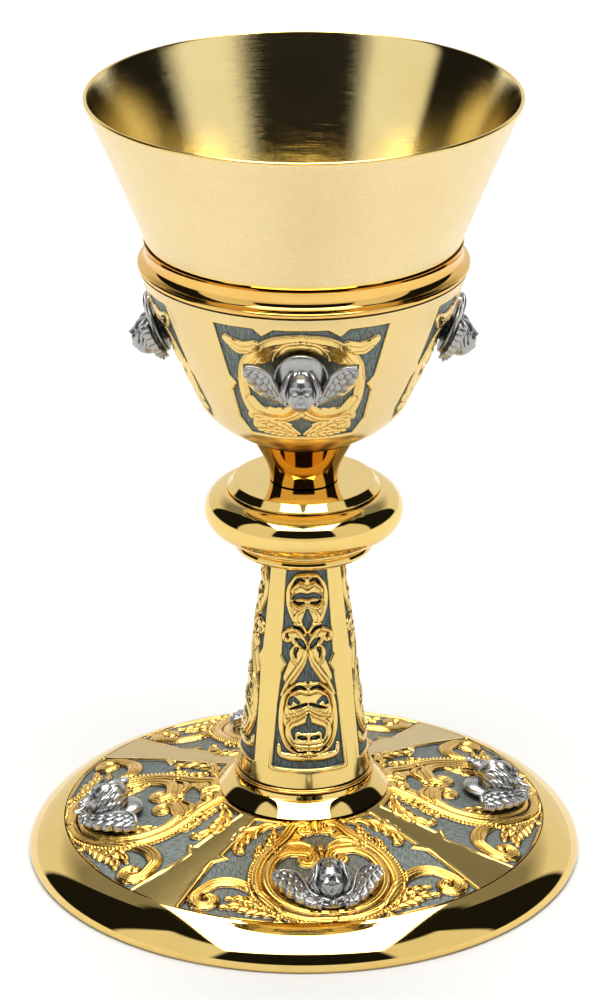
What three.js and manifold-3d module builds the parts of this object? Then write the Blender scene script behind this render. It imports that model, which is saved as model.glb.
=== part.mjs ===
// A communion chalice: a conical cup screwed into a chased calyx, on a turned knop, a tapered stem
// and a round foot, all clamped on one threaded rod. Millimetres, +Z up, origin at the centre of the
// plane the foot stands on. An azimuth of 0 faces -Y and a positive azimuth turns towards +X.

import * as THREE from "three";
import { mergeVertices } from "three/addons/utils/BufferGeometryUtils.js";
import Module from "manifold-3d";

const wasm = await Module();
wasm.setup();

// ---------------------------------------------------------------- driving dimensions

const GAP = 0.3;                     // clearance between two pieces that touch
const LARGE_SEGMENTS = 52;           // facets round the cup, calyx and foot
const SMALL_SEGMENTS = 32;           // facets round the turned fittings

// Tie rod and its thread
const ROD_RADIUS = 4;
const ROD_TAIL = 2.2;                // rod left showing below the foot nut

// Foot
const FOOT_RADIUS = 69.9;
const FOOT_CROWN_HEIGHT = 16.8;
const FOOT_CROWN_MARGIN = 0.4;       // flat crown showing round the collar
const FOOT_BORDER_WIDTH = 8.9;       // rolled border outside the straight dome
const FOOT_BORDER_HEIGHT = 9;
const FOOT_BORDER_EASE = 5.6;        // how far the dome's slope runs on into the border
const FOOT_EDGE_HEIGHT = 1.4;        // where the foot is widest
const FOOT_EDGE_ROUNDING = 0.9;
const FOOT_WALL = 1.5;
const FOOT_BASE_WIDTH = 2.2;         // flat ring that stands on the table
const FOOT_PANEL_MARGIN = 1.4;       // plain band inside and outside the panels
const FOOT_PANEL_HALF_ANGLE = 37.5;  // degrees
const FOOT_TURN = 7;                 // azimuth of the front panel, degrees
const FOOT_MEDALLION = { along: 42, halfWidth: 17, halfHeight: 16.6, band: 2.2 };
const FOOT_CHERUB_OFFSET = 6;        // castings sit outside the middle of their medallions

// Mouldings between foot and stem
const COLLAR_RADIUS = 21.4;
const COLLAR_SHOULDER = 1;           // collar's top edge outside the stem
const COLLAR_HEIGHT = 4.9;
const COLLAR_BORE = 9;
const BEAD_PROUD = 0.8;              // bead's edge outside the stem
const BEAD_HEIGHT = 1.1;

// Stem
const STEM_LENGTH = 59.2;
const STEM_BOTTOM_RADIUS = 16.8;
const STEM_TOP_RADIUS = 9.65;
const STEM_WALL = 1.5;
const STEM_PANEL_MARGIN_LOW = 4.9;   // plain band below the panels
const STEM_PANEL_MARGIN_HIGH = 2.9;
const STEM_PANEL_HALF_ANGLE = 32;
const STEM_TURN = 4.5;

// Knop
const LOWER_PLATE_RADIUS = 17.4;
const LOWER_PLATE_HEIGHT = 3.6;
const LOWER_PLATE_ROLL = 0.9;        // radius of its rolled lower edge
const LOWER_PLATE_GROOVE = 0.8;      // depth of the groove above the roll
const KNOP_RADIUS = 24.7;
const KNOP_SECTION_RADIUS = 5.4;
const KNOP_RING_HEIGHT = 11.2;
const KNOP_MIDDLE_DROP = 5.1;        // middle of its round section below its top face
const KNOP_BORE = 9;
const TOP_PLATE_RADIUS = 18.9;
const TOP_PLATE_HEIGHT = 2.4;
const TOP_PLATE_ROUNDING = 0.9;
const TOP_PLATE_UNDERCUT = 1.5;      // how far its lower face stays inside its edge

// Neck
const NECK_WAIST_RADIUS = 8.4;
const NECK_TOP_RADIUS = 14.1;
const NECK_HEIGHT = 12;
const NECK_WALL = 1.8;

// Calyx
const CALYX_HEIGHT = 43.3;
const CALYX_SHOULDER_HEIGHT = 8;     // where the bowl turns in to its base
const CALYX_BASE_REACH = 2.6;        // how far the base runs out before it turns up
const CALYX_BASE_RISE = 0.9;
const CALYX_BELLY = 1;               // how far the wall swells past a straight cone
const CALYX_WALL = 1.4;
const CALYX_PANEL_LOW = 7.9;         // above the calyx base
const CALYX_PANEL_MARGIN = 3.2;      // plain band between the panels and the mouth
const CALYX_PANEL_HALF_ANGLE = 33.6;
const CALYX_TURN = -1;
const CALYX_MEDALLION = { along: 26, halfWidth: 16, halfHeight: 13, band: 2.2 };
const CALYX_CHERUB_OFFSET = 2.4;     // castings sit above the middle of their medallions
const LIP_WIDTH = 4;                 // lip ring from the cup to the edge of its bead
const LIP_CLEARANCE = 0.4;           // round the cup
const LIP_OVERHANG = 0.4;            // bead's edge outside the calyx mouth
const LIP_BEAD = 1.1;                // radius of the rounded lip
const LIP_LEDGE_DROP = 0.6;          // seat level below the top of the bead
const LIP_COLLAR_HEIGHT = 4.8;       // hollow collar that rises from the bead round the cup
const LIP_COLLAR_EDGE = 0.3;         // width of the collar's upper edge

// Cup
const CUP_RIM_RADIUS = 53.1;
const CUP_ABOVE_LIP = 41.1;          // rim above the top face of the lip ring
const CUP_SEAT_RADIUS = 36.4;        // cup radius at the top face of the lip ring
const CUP_BOTTOM_HEIGHT = 16.5;      // cup bottom above the calyx base
const CUP_BASE_RADIUS = 12;
const CUP_ROUNDING_HEIGHT = 12;
const CUP_WALL = 1;

// Screw fitting of the cup
const COUPLING_WALL = 3.7;
const SEAL_THICKNESS = 1;
const SEAL_WIDTH = 3.3;
const STUD_FLANGE_THICKNESS = 1.9;
const STUD_FLANGE_WIDTH = 4.3;
const STUD_LENGTH = 7.2;             // thread that reaches into the coupling
const STUD_CHAMFER = 0.6;

// Foot nut and washer
const WASHER_WIDTH = 5.7;
const WASHER_THICKNESS = 1.6;
const FOOT_NUT_WALL = 2.2;
const FOOT_NUT_HEIGHT = 6.4;

// Chased panels and applied castings
const PANEL_COUNT = 4;
const PANEL_DEPTH = 0.5;
const PIN_RADIUS = 0.9;
const PIN_NUT_WALL = 0.8;
const PIN_NUT_HEIGHT = 1.5;
const PIN_TAIL = 0.5;
const PIN_ROOT = 1;                  // pin's length inside the casting
const CHERUB = {
  head: { size: [4.3, 5.3, 4.2], place: [0, 1.5, 2.4] },
  collar: { size: [4.6, 2.3, 2.2], place: [0, -4.6, 1.6] },
  wing: { size: [6.6, 3.1, 1.5], place: [0, 0.4, 1.5] },
  wingReach: 7,                      // middle of a wing from the middle of the head
  wingLean: 24,                      // degrees
};

// ---------------------------------------------------------------- fits

const boreRadius = ROD_RADIUS + GAP;   // holes that the rod and the stud pass through
const lipRadius = CUP_SEAT_RADIUS + LIP_WIDTH;
const calyxMouthRadius = lipRadius - LIP_OVERHANG;
const domeRadius = FOOT_RADIUS - FOOT_BORDER_WIDTH;
const crownRadius = COLLAR_RADIUS + FOOT_CROWN_MARGIN;

// ---------------------------------------------------------------- heights of the stack

const collarBase = FOOT_CROWN_HEIGHT + GAP;
const beadBase = collarBase + COLLAR_HEIGHT + GAP;
const stemBase = beadBase + BEAD_HEIGHT + GAP;
const lowerPlateBase = stemBase + STEM_LENGTH + GAP;
const knopRingBase = lowerPlateBase + LOWER_PLATE_HEIGHT + GAP;
const topPlateBase = knopRingBase + KNOP_RING_HEIGHT + GAP;
const neckBase = topPlateBase + TOP_PLATE_HEIGHT + GAP;
const calyxBase = neckBase + NECK_HEIGHT + GAP;
const lipBase = calyxBase + CALYX_HEIGHT + GAP;
const lipTop = lipBase + 2 * LIP_BEAD - LIP_LEDGE_DROP;
const rimHeight = lipTop + CUP_ABOVE_LIP;
const cupBottom = calyxBase + CUP_BOTTOM_HEIGHT;
const flangeTop = cupBottom - GAP;
const flangeBase = flangeTop - STUD_FLANGE_THICKNESS;
const sealBase = flangeBase - GAP - SEAL_THICKNESS;
const couplingTop = sealBase - GAP;
const couplingBase = calyxBase + CALYX_WALL + GAP;
const studTip = couplingTop - STUD_LENGTH;
const rodTop = studTip - GAP;
const washerTop = FOOT_CROWN_HEIGHT - FOOT_WALL - GAP;
const footNutTop = washerTop - WASHER_THICKNESS - GAP;
const rodBottom = footNutTop - FOOT_NUT_HEIGHT - ROD_TAIL;

// ---------------------------------------------------------------- materials

const finishes = {
  satinGold: { color: 0xe6cf8e, roughness: 0.42, metalness: 1 },
  polishedGold: { color: 0xe9bd4a, roughness: 0.1, metalness: 1 },
  brushedGold: { color: 0xd9bf74, roughness: 0.28, metalness: 1 },
  antiqueSilver: { color: 0xa4a8a6, roughness: 0.35, metalness: 1 },
  steel: { color: 0x8e9092, roughness: 0.3, metalness: 1 },
  leather: { color: 0x5b4636, roughness: 0.8, metalness: 0 },
};

const chalice = new THREE.Group();

// Adds one named piece with its own material.
function addPiece(name, geometry, finish) {
  const mesh = new THREE.Mesh(geometry, new THREE.MeshStandardMaterial(finishes[finish]));
  mesh.name = name;
  chalice.add(mesh);
  return mesh;
}

// ---------------------------------------------------------------- solids

// A closed geometry as a manifold solid.
function solidOf(geometry) {
  const bare = geometry.clone();
  bare.deleteAttribute("normal");
  bare.deleteAttribute("uv");
  const merged = mergeVertices(bare, 1e-4);
  const vertProperties = new Float32Array(merged.attributes.position.array);
  const triVerts = new Uint32Array(merged.index.array);
  return new wasm.Manifold(new wasm.Mesh({ numProp: 3, vertProperties, triVerts }));
}

// A manifold solid as a geometry.
function geometryOf(solid) {
  const mesh = solid.getMesh();
  const geometry = new THREE.BufferGeometry();
  geometry.setAttribute("position", new THREE.BufferAttribute(mesh.vertProperties, 3));
  geometry.setIndex(new THREE.BufferAttribute(mesh.triVerts, 1));
  geometry.computeVertexNormals();
  return geometry;
}

// Turns a closed [radius, height] outline, listed anticlockwise, about the Z axis.
function turned(outline, segments) {
  const points = [...outline, outline[0]].map(([r, z]) => new THREE.Vector2(r, z));
  return new THREE.LatheGeometry(points, segments).rotateX(Math.PI / 2);
}

// A plain ring or disc between two heights.
function ring(inner, outer, low, high, segments = SMALL_SEGMENTS) {
  return turned([[inner, low], [outer, low], [outer, high], [inner, high]], segments);
}

// Points on an arc in the outline's plane, angles in degrees.
function arc(centreR, centreZ, radiusR, radiusZ, from, to, steps) {
  return Array.from({ length: steps + 1 }, (_, i) => {
    const angle = THREE.MathUtils.degToRad(from + ((to - from) * i) / steps);
    return [centreR + radiusR * Math.cos(angle), centreZ + radiusZ * Math.sin(angle)];
  });
}

// Points on a curve through the given control points, ends included.
function curvePoints(curve, steps) {
  return curve.getPoints(steps).map((p) => [p.x, p.y]);
}

function vector(r, z) {
  return new THREE.Vector2(r, z);
}

// An open outline moved sideways by a wall thickness, to its left.
function offset(outline, wall) {
  return outline.map((point, i) => {
    const before = outline[Math.max(i - 1, 0)];
    const after = outline[Math.min(i + 1, outline.length - 1)];
    const run = Math.hypot(after[0] - before[0], after[1] - before[1]);
    const across = (after[1] - before[1]) / run;
    const along = (after[0] - before[0]) / run;
    return [point[0] - wall * across, point[1] + wall * along];
  });
}

// A regular hexagonal nut with a round bore, from one height to another. wall is its least thickness.
function hexNut(wall, bore, low, high) {
  const corner = (2 * (bore + wall)) / Math.sqrt(3);
  const outline = new THREE.Shape(
    Array.from({ length: 6 }, (_, i) => {
      const angle = (Math.PI / 3) * i;
      return new THREE.Vector2(corner * Math.cos(angle), corner * Math.sin(angle));
    }),
  );
  outline.holes.push(new THREE.Path().absarc(0, 0, bore, 0, 2 * Math.PI, true));
  const options = { depth: high - low, bevelEnabled: false, curveSegments: 12 };
  return new THREE.ExtrudeGeometry(outline, options).translate(0, 0, low);
}

// ---------------------------------------------------------------- places on a turned wall

// The frame of a spot on a wall: X to the right, Y up the wall and Z straight out of it.
// azimuth is in degrees and tilt is how far the wall's outward normal leans below level.
function wallFrame(azimuth, radius, height, tilt) {
  const turn = THREE.MathUtils.degToRad(azimuth);
  const radial = new THREE.Vector3(Math.sin(turn), -Math.cos(turn), 0);
  const up = new THREE.Vector3(0, 0, 1);
  const out = radial.clone().multiplyScalar(Math.cos(tilt)).addScaledVector(up, -Math.sin(tilt));
  const rise = radial.clone().multiplyScalar(Math.sin(tilt)).addScaledVector(up, Math.cos(tilt));
  const right = new THREE.Vector3().crossVectors(rise, out);
  const place = new THREE.Matrix4().makeBasis(right, rise, out);
  return place.setPosition(radial.multiplyScalar(radius).setZ(height));
}

// The four azimuths of a piece's panels.
function panelAzimuths(turn) {
  return Array.from({ length: PANEL_COUNT }, (_, i) => turn + (360 / PANEL_COUNT) * i);
}

// A wedge about the Z axis, used to cut a ring into panel sectors.
function wedge(azimuth, halfAngle, reach, height) {
  const half = THREE.MathUtils.degToRad(halfAngle);
  const side = reach * Math.sin(half);
  const front = -reach * Math.cos(half);
  const outline = new THREE.Shape([vector(0, 0), vector(-side, front), vector(side, front)]);
  const options = { depth: height, bevelEnabled: false };
  const geometry = new THREE.ExtrudeGeometry(outline, options);
  return solidOf(geometry.rotateZ(THREE.MathUtils.degToRad(azimuth)));
}

// An oval band standing through a wall, used to keep the medallion out of a panel's recess.
function ovalBand(medallion, reach, frame) {
  const { halfWidth, halfHeight, band } = medallion;
  const outline = new THREE.Shape().absellipse(0, 0, halfWidth, halfHeight, 0, 2 * Math.PI);
  const inside = new THREE.Path();
  outline.holes.push(inside.absellipse(0, 0, halfWidth - band, halfHeight - band, 0, 2 * Math.PI, true));
  const options = { depth: 2 * reach, bevelEnabled: false, curveSegments: 5 };
  return solidOf(new THREE.ExtrudeGeometry(outline, options).translate(0, 0, -reach).applyMatrix4(frame));
}

// A round hole through a wall for a casting's pin.
function pinHole(frame, wall) {
  const hole = new THREE.CylinderGeometry(PIN_RADIUS + GAP, PIN_RADIUS + GAP, 4 * wall, 12);
  return solidOf(hole.rotateX(Math.PI / 2).applyMatrix4(frame));
}

// ---------------------------------------------------------------- cup and its screw fitting

const cupSlope = (CUP_RIM_RADIUS - CUP_SEAT_RADIUS) / CUP_ABOVE_LIP;

// Radius of the cup's outer cone at a height.
function cupRadius(height) {
  return CUP_SEAT_RADIUS + cupSlope * (height - lipTop);
}

function cupOutline() {
  const turnHeight = cupBottom + CUP_ROUNDING_HEIGHT;
  const base = new THREE.QuadraticBezierCurve(
    vector(CUP_BASE_RADIUS, cupBottom),
    vector(cupRadius(cupBottom), cupBottom),
    vector(cupRadius(turnHeight), turnHeight),
  );
  const outside = [...curvePoints(base, 5), [cupRadius(lipTop), lipTop], [CUP_RIM_RADIUS, rimHeight]];
  const inside = offset(outside, CUP_WALL);
  inside[0] = [CUP_BASE_RADIUS, cupBottom + CUP_WALL];
  inside[inside.length - 1][1] = rimHeight;
  return [[0, cupBottom], ...outside, ...inside.reverse(), [0, cupBottom + CUP_WALL]];
}

function studOutline() {
  const flangeRadius = boreRadius + STUD_FLANGE_WIDTH;
  return [
    [0, studTip],
    [ROD_RADIUS - STUD_CHAMFER, studTip],
    [ROD_RADIUS, studTip + STUD_CHAMFER],
    [ROD_RADIUS, flangeBase],
    [flangeRadius, flangeBase],
    [flangeRadius, flangeTop],
    [0, flangeTop],
  ];
}

addPiece("cup", turned(cupOutline(), LARGE_SEGMENTS), "brushedGold");
addPiece("cup_stud", turned(studOutline(), SMALL_SEGMENTS), "steel");
addPiece(
  "cup_seal",
  ring(boreRadius, boreRadius + SEAL_WIDTH, sealBase, sealBase + SEAL_THICKNESS),
  "leather",
);
addPiece(
  "cup_coupling",
  ring(boreRadius, boreRadius + COUPLING_WALL, couplingBase, couplingTop),
  "steel",
);

// ---------------------------------------------------------------- calyx and its lip ring

const calyxShoulder = calyxBase + CALYX_SHOULDER_HEIGHT;
const shoulderRadius = cupRadius(cupBottom);
const calyxMouth = calyxBase + CALYX_HEIGHT;

// The calyx wall above its shoulder: a cone with a slight belly.
const calyxWall = new THREE.QuadraticBezierCurve(
  vector(shoulderRadius, calyxShoulder),
  vector(
    (shoulderRadius + calyxMouthRadius) / 2 + CALYX_BELLY,
    (calyxShoulder + calyxMouth) / 2 - CALYX_BELLY,
  ),
  vector(calyxMouthRadius, calyxMouth),
);

// The calyx's outside from the edge of its base to its mouth.
function calyxOutside() {
  const startTangent = calyxWall.getTangent(0);
  const lean = 0.55 * CALYX_SHOULDER_HEIGHT;
  const turnIn = new THREE.CubicBezierCurve(
    vector(NECK_TOP_RADIUS, calyxBase),
    vector(NECK_TOP_RADIUS + CALYX_BASE_REACH, calyxBase + CALYX_BASE_RISE),
    vector(shoulderRadius - startTangent.x * lean, calyxShoulder - startTangent.y * lean),
    vector(shoulderRadius, calyxShoulder),
  );
  return [...curvePoints(turnIn, 4), ...curvePoints(calyxWall, 4).slice(1)];
}

// The outside's radius and the lean of its normal at a height above the shoulder.
function calyxSpot(height) {
  const points = calyxWall.getPoints(60);
  const upper = points.findIndex((p) => p.y >= height);
  const [a, b] = [points[upper - 1], points[upper]];
  const share = (height - a.y) / (b.y - a.y);
  return { radius: a.x + share * (b.x - a.x), tilt: Math.atan2(b.x - a.x, b.y - a.y) };
}

// The frame of a spot on the calyx wall.
function calyxFrame(azimuth, aboveBase) {
  const height = calyxBase + aboveBase;
  const { radius, tilt } = calyxSpot(height);
  return wallFrame(azimuth, radius, height, tilt);
}

// The frame of the spot that a casting is fixed to on the calyx.
function calyxCherubFrame(azimuth) {
  return calyxFrame(azimuth, CALYX_MEDALLION.along + CALYX_CHERUB_OFFSET);
}

function calyxSolid() {
  const outside = calyxOutside();
  const inside = offset(outside, CALYX_WALL);
  inside[0] = [NECK_TOP_RADIUS - CALYX_WALL, calyxBase + CALYX_WALL];
  inside[inside.length - 1][1] = calyxMouth;
  const floor = [[boreRadius, calyxBase + CALYX_WALL], [boreRadius, calyxBase]];
  let shell = solidOf(turned([...outside, ...inside.reverse(), ...floor], LARGE_SEGMENTS));

  const wall = calyxOutside();
  const recess = offset(wall, PANEL_DEPTH);
  const low = calyxBase + CALYX_PANEL_LOW;
  const high = calyxMouth - CALYX_PANEL_MARGIN;
  const band = recess.filter(([, z]) => z > low && z < high);
  const at = (z) => radiusAt(recess, z);
  const reach = 2 * calyxMouthRadius;
  const slab = [[reach, low], [reach, high], [at(high), high], ...band.reverse(), [at(low), low]];
  const sector = solidOf(turned(slab, LARGE_SEGMENTS));
  for (const azimuth of panelAzimuths(CALYX_TURN)) {
    const medallion = ovalBand(CALYX_MEDALLION, 12, calyxFrame(azimuth, CALYX_MEDALLION.along));
    const panel = sector.intersect(wedge(azimuth, CALYX_PANEL_HALF_ANGLE, 2 * reach, rimHeight));
    shell = shell.subtract(panel.subtract(medallion));
    shell = shell.subtract(pinHole(calyxCherubFrame(azimuth), CALYX_WALL));
  }
  return shell;
}

// Radius of an open outline at a height.
function radiusAt(outline, height) {
  const upper = outline.findIndex(([, z]) => z >= height);
  const [r0, z0] = outline[upper - 1];
  const [r1, z1] = outline[upper];
  return r0 + ((r1 - r0) * (height - z0)) / (z1 - z0);
}

// The lip ring: a rounded outer bead, and above it a hollow collar that follows the cup.
function lipOutline() {
  const bead = arc(lipRadius - LIP_BEAD, lipBase + LIP_BEAD, LIP_BEAD, LIP_BEAD, -90, 60, 5);
  const collarTop = lipTop + LIP_COLLAR_HEIGHT;
  const inside = cupRadius(collarTop) + LIP_CLEARANCE;
  const outside = inside + LIP_COLLAR_EDGE;
  const hollow = new THREE.QuadraticBezierCurve(
    vector(...bead[bead.length - 1]),
    vector(outside + 0.05, lipTop + 0.35 * LIP_COLLAR_HEIGHT),
    vector(outside, collarTop),
  );
  const bore = CUP_SEAT_RADIUS + LIP_CLEARANCE;
  return [
    [bore, lipBase],
    ...bead,
    ...curvePoints(hollow, 4).slice(1),
    [inside, collarTop],
    [bore, lipTop],
  ];
}

addPiece("calyx", geometryOf(calyxSolid()), "satinGold");
addPiece("calyx_lip", turned(lipOutline(), LARGE_SEGMENTS), "polishedGold");

// ---------------------------------------------------------------- neck and knop

function neckOutline() {
  const flareRadius = (NECK_WAIST_RADIUS + NECK_TOP_RADIUS) / 2;
  const flare = new THREE.CubicBezierCurve(
    vector(NECK_WAIST_RADIUS, neckBase),
    vector(NECK_WAIST_RADIUS, neckBase + 0.37 * NECK_HEIGHT),
    vector(flareRadius, neckBase + 0.7 * NECK_HEIGHT),
    vector(NECK_TOP_RADIUS, neckBase + NECK_HEIGHT),
  );
  const outside = curvePoints(flare, 7);
  const inside = offset(outside, NECK_WALL);
  inside[0][1] = neckBase;
  inside[inside.length - 1][1] = neckBase + NECK_HEIGHT;
  return [...outside, ...inside.reverse()];
}

function topPlateOutline() {
  const top = topPlateBase + TOP_PLATE_HEIGHT;
  const round = TOP_PLATE_ROUNDING;
  return [
    [boreRadius, topPlateBase],
    [TOP_PLATE_RADIUS - TOP_PLATE_UNDERCUT, topPlateBase],
    ...arc(TOP_PLATE_RADIUS - round, top - round, round, round, -40, 90, 5),
    [boreRadius, top],
  ];
}

function knopRingOutline() {
  const section = KNOP_SECTION_RADIUS;
  const centre = KNOP_RADIUS - section;
  const top = knopRingBase + KNOP_RING_HEIGHT;
  const bulge = arc(centre, top - KNOP_MIDDLE_DROP, section, section, -95, 105, 11);
  return [
    [KNOP_BORE, knopRingBase],
    [centre - section / 2, knopRingBase],
    ...bulge,
    [centre - 0.37 * section, top],
    [KNOP_BORE, top],
  ];
}

function lowerPlateOutline() {
  const top = lowerPlateBase + LOWER_PLATE_HEIGHT;
  const roll = LOWER_PLATE_ROLL;
  const grooveRadius = LOWER_PLATE_RADIUS - LOWER_PLATE_GROOVE;
  const grooveTop = lowerPlateBase + 2 * roll + LOWER_PLATE_GROOVE / 2;
  return [
    [boreRadius, lowerPlateBase],
    ...arc(LOWER_PLATE_RADIUS - roll, lowerPlateBase + roll, roll, roll, -90, 90, 4),
    [grooveRadius, grooveTop],
    [LOWER_PLATE_RADIUS, grooveTop + LOWER_PLATE_GROOVE / 2],
    [LOWER_PLATE_RADIUS, top],
    [boreRadius, top],
  ];
}

addPiece("neck", turned(neckOutline(), SMALL_SEGMENTS), "polishedGold");
addPiece("knop_top_plate", turned(topPlateOutline(), SMALL_SEGMENTS), "polishedGold");
addPiece("knop_ring", turned(knopRingOutline(), SMALL_SEGMENTS), "polishedGold");
addPiece("knop_lower_plate", turned(lowerPlateOutline(), SMALL_SEGMENTS), "polishedGold");

// ---------------------------------------------------------------- stem and mouldings below it

const stemSlope = (STEM_BOTTOM_RADIUS - STEM_TOP_RADIUS) / STEM_LENGTH;

// Radius of the stem's outside at a height.
function stemRadius(height) {
  return STEM_BOTTOM_RADIUS - stemSlope * (height - stemBase);
}

function stemSolid() {
  const top = stemBase + STEM_LENGTH;
  const tube = [
    [STEM_BOTTOM_RADIUS - STEM_WALL, stemBase],
    [STEM_BOTTOM_RADIUS, stemBase],
    [STEM_TOP_RADIUS, top],
    [STEM_TOP_RADIUS - STEM_WALL, top],
  ];
  let shell = solidOf(turned(tube, SMALL_SEGMENTS));
  const low = stemBase + STEM_PANEL_MARGIN_LOW;
  const high = top - STEM_PANEL_MARGIN_HIGH;
  const reach = 2 * STEM_BOTTOM_RADIUS;
  const slab = [
    [stemRadius(low) - PANEL_DEPTH, low],
    [reach, low],
    [reach, high],
    [stemRadius(high) - PANEL_DEPTH, high],
  ];
  const sector = solidOf(turned(slab, SMALL_SEGMENTS));
  for (const azimuth of panelAzimuths(STEM_TURN)) {
    const side = wedge(azimuth, STEM_PANEL_HALF_ANGLE, 2 * reach, top);
    shell = shell.subtract(sector.intersect(side));
  }
  return shell;
}

function beadOutline() {
  const middle = beadBase + BEAD_HEIGHT / 2;
  const radius = STEM_BOTTOM_RADIUS + BEAD_PROUD;
  const roll = arc(radius - BEAD_HEIGHT / 2, middle, BEAD_HEIGHT / 2, BEAD_HEIGHT / 2, -90, 90, 4);
  return [[COLLAR_BORE, beadBase], ...roll, [COLLAR_BORE, beadBase + BEAD_HEIGHT]];
}

function collarOutline() {
  const low = collarBase + 0.5;
  const height = COLLAR_HEIGHT - 0.5;
  const shoulder = STEM_BOTTOM_RADIUS + COLLAR_SHOULDER;
  const width = COLLAR_RADIUS - shoulder;
  const quarter = arc(shoulder, low, width, height, 0, 90, 6);
  return [
    [COLLAR_BORE, collarBase],
    [COLLAR_RADIUS - 0.3, collarBase],
    ...quarter,
    [COLLAR_BORE, collarBase + COLLAR_HEIGHT],
  ];
}

addPiece("stem", geometryOf(stemSolid()), "satinGold");
addPiece("stem_bead", turned(beadOutline(), SMALL_SEGMENTS), "polishedGold");
addPiece("foot_collar", turned(collarOutline(), SMALL_SEGMENTS), "polishedGold");

// ---------------------------------------------------------------- foot

const domeSlope = (FOOT_CROWN_HEIGHT - FOOT_BORDER_HEIGHT) / (domeRadius - crownRadius);

// Height of the straight dome's outside at a radius.
function domeHeight(radius) {
  return FOOT_CROWN_HEIGHT - domeSlope * (radius - crownRadius);
}

// The rolled border's outside, listed from the table edge up to the dome.
function borderOutside() {
  const roll = new THREE.CubicBezierCurve(
    vector(FOOT_RADIUS, FOOT_EDGE_HEIGHT),
    vector(FOOT_RADIUS, 0.42 * FOOT_BORDER_HEIGHT),
    vector(domeRadius + FOOT_BORDER_EASE, domeHeight(domeRadius + FOOT_BORDER_EASE)),
    vector(domeRadius, FOOT_BORDER_HEIGHT),
  );
  const round = FOOT_EDGE_ROUNDING;
  const edge = arc(FOOT_RADIUS - round, FOOT_EDGE_HEIGHT, round, FOOT_EDGE_HEIGHT, -90, -20, 3);
  return [...edge, ...curvePoints(roll, 6)];
}

function borderOutline() {
  const outside = borderOutside();
  const underside = offset(outside, FOOT_WALL).filter(([r]) => r < FOOT_RADIUS - FOOT_BASE_WIDTH);
  underside[underside.length - 1] = [domeRadius, FOOT_BORDER_HEIGHT - FOOT_WALL];
  return [...outside, ...underside.reverse(), [FOOT_RADIUS - FOOT_EDGE_ROUNDING - FOOT_BASE_WIDTH, 0]];
}

// The frame of a spot on the foot's dome, with Y towards the axis.
function footFrame(azimuth, radius) {
  const tilt = Math.atan(domeSlope) - Math.PI / 2;
  return wallFrame(azimuth, radius, domeHeight(radius), tilt);
}

// The frame of the spot that a casting is fixed to on the foot.
function footCherubFrame(azimuth) {
  return footFrame(azimuth, FOOT_MEDALLION.along + FOOT_CHERUB_OFFSET);
}

function footSolid() {
  const edge = domeRadius - GAP;
  const underside = FOOT_CROWN_HEIGHT - FOOT_WALL;
  const dome = [
    [edge, domeHeight(edge) - FOOT_WALL],
    [edge, domeHeight(edge)],
    [crownRadius, FOOT_CROWN_HEIGHT],
    [boreRadius, FOOT_CROWN_HEIGHT],
    [boreRadius, underside],
    [crownRadius, underside],
  ];
  let shell = solidOf(turned(dome, LARGE_SEGMENTS));

  const inner = crownRadius + FOOT_PANEL_MARGIN;
  const outer = domeRadius - FOOT_PANEL_MARGIN;
  const slab = [
    [inner, domeHeight(inner) - PANEL_DEPTH],
    [outer, domeHeight(outer) - PANEL_DEPTH],
    [outer, 2 * FOOT_CROWN_HEIGHT],
    [inner, 2 * FOOT_CROWN_HEIGHT],
  ];
  const sector = solidOf(turned(slab, LARGE_SEGMENTS));
  for (const azimuth of panelAzimuths(FOOT_TURN)) {
    const side = wedge(azimuth, FOOT_PANEL_HALF_ANGLE, 2 * FOOT_RADIUS, 3 * FOOT_CROWN_HEIGHT);
    const medallion = ovalBand(FOOT_MEDALLION, 8, footFrame(azimuth, FOOT_MEDALLION.along));
    shell = shell.subtract(sector.intersect(side).subtract(medallion));
    shell = shell.subtract(pinHole(footCherubFrame(azimuth), FOOT_WALL));
  }
  return shell;
}

addPiece("foot", geometryOf(footSolid()), "satinGold");
addPiece("foot_border", turned(borderOutline(), LARGE_SEGMENTS), "polishedGold");

// ---------------------------------------------------------------- rod, foot washer and nut

addPiece(
  "tie_rod",
  turned([[0, rodBottom], [ROD_RADIUS, rodBottom], [ROD_RADIUS, rodTop], [0, rodTop]], SMALL_SEGMENTS),
  "steel",
);
addPiece(
  "foot_washer",
  ring(boreRadius, boreRadius + WASHER_WIDTH, washerTop - WASHER_THICKNESS, washerTop),
  "steel",
);
addPiece(
  "foot_nut",
  hexNut(FOOT_NUT_WALL, boreRadius, footNutTop - FOOT_NUT_HEIGHT, footNutTop),
  "steel",
);

// ---------------------------------------------------------------- cherub castings

// An ellipsoid with its own half-sizes, leaning by an angle in degrees in the wall's plane.
function ellipsoid(size, lean, place, detail = 7) {
  const ball = new THREE.SphereGeometry(1, detail, Math.round(detail * 0.7)).scale(...size);
  return solidOf(ball.rotateZ(THREE.MathUtils.degToRad(lean)).translate(...place));
}

// A winged head with a threaded pin behind it. wall is the thickness that the pin goes through.
// Its back is a plane, a gap above the spot on the wall that the casting is fixed to.
function cherubSolid(wall) {
  const { head, collar, wing, wingLean, wingReach } = CHERUB;
  let figure = ellipsoid(head.size, 0, head.place, 10).add(ellipsoid(collar.size, 0, collar.place));
  for (const side of [-1, 1]) {
    const place = [side * wingReach, wing.place[1], wing.place[2]];
    figure = figure.add(ellipsoid(wing.size, side * wingLean, place));
  }
  const front = new THREE.BoxGeometry(40, 40, 20).translate(0, 0, 10 + GAP);
  figure = figure.intersect(solidOf(front));
  const length = PIN_ROOT + GAP + wall + GAP + PIN_NUT_HEIGHT + PIN_TAIL;
  const pin = new THREE.CylinderGeometry(PIN_RADIUS, PIN_RADIUS, length, 8).rotateX(Math.PI / 2);
  return figure.add(solidOf(pin.translate(0, 0, GAP + PIN_ROOT - length / 2)));
}

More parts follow.
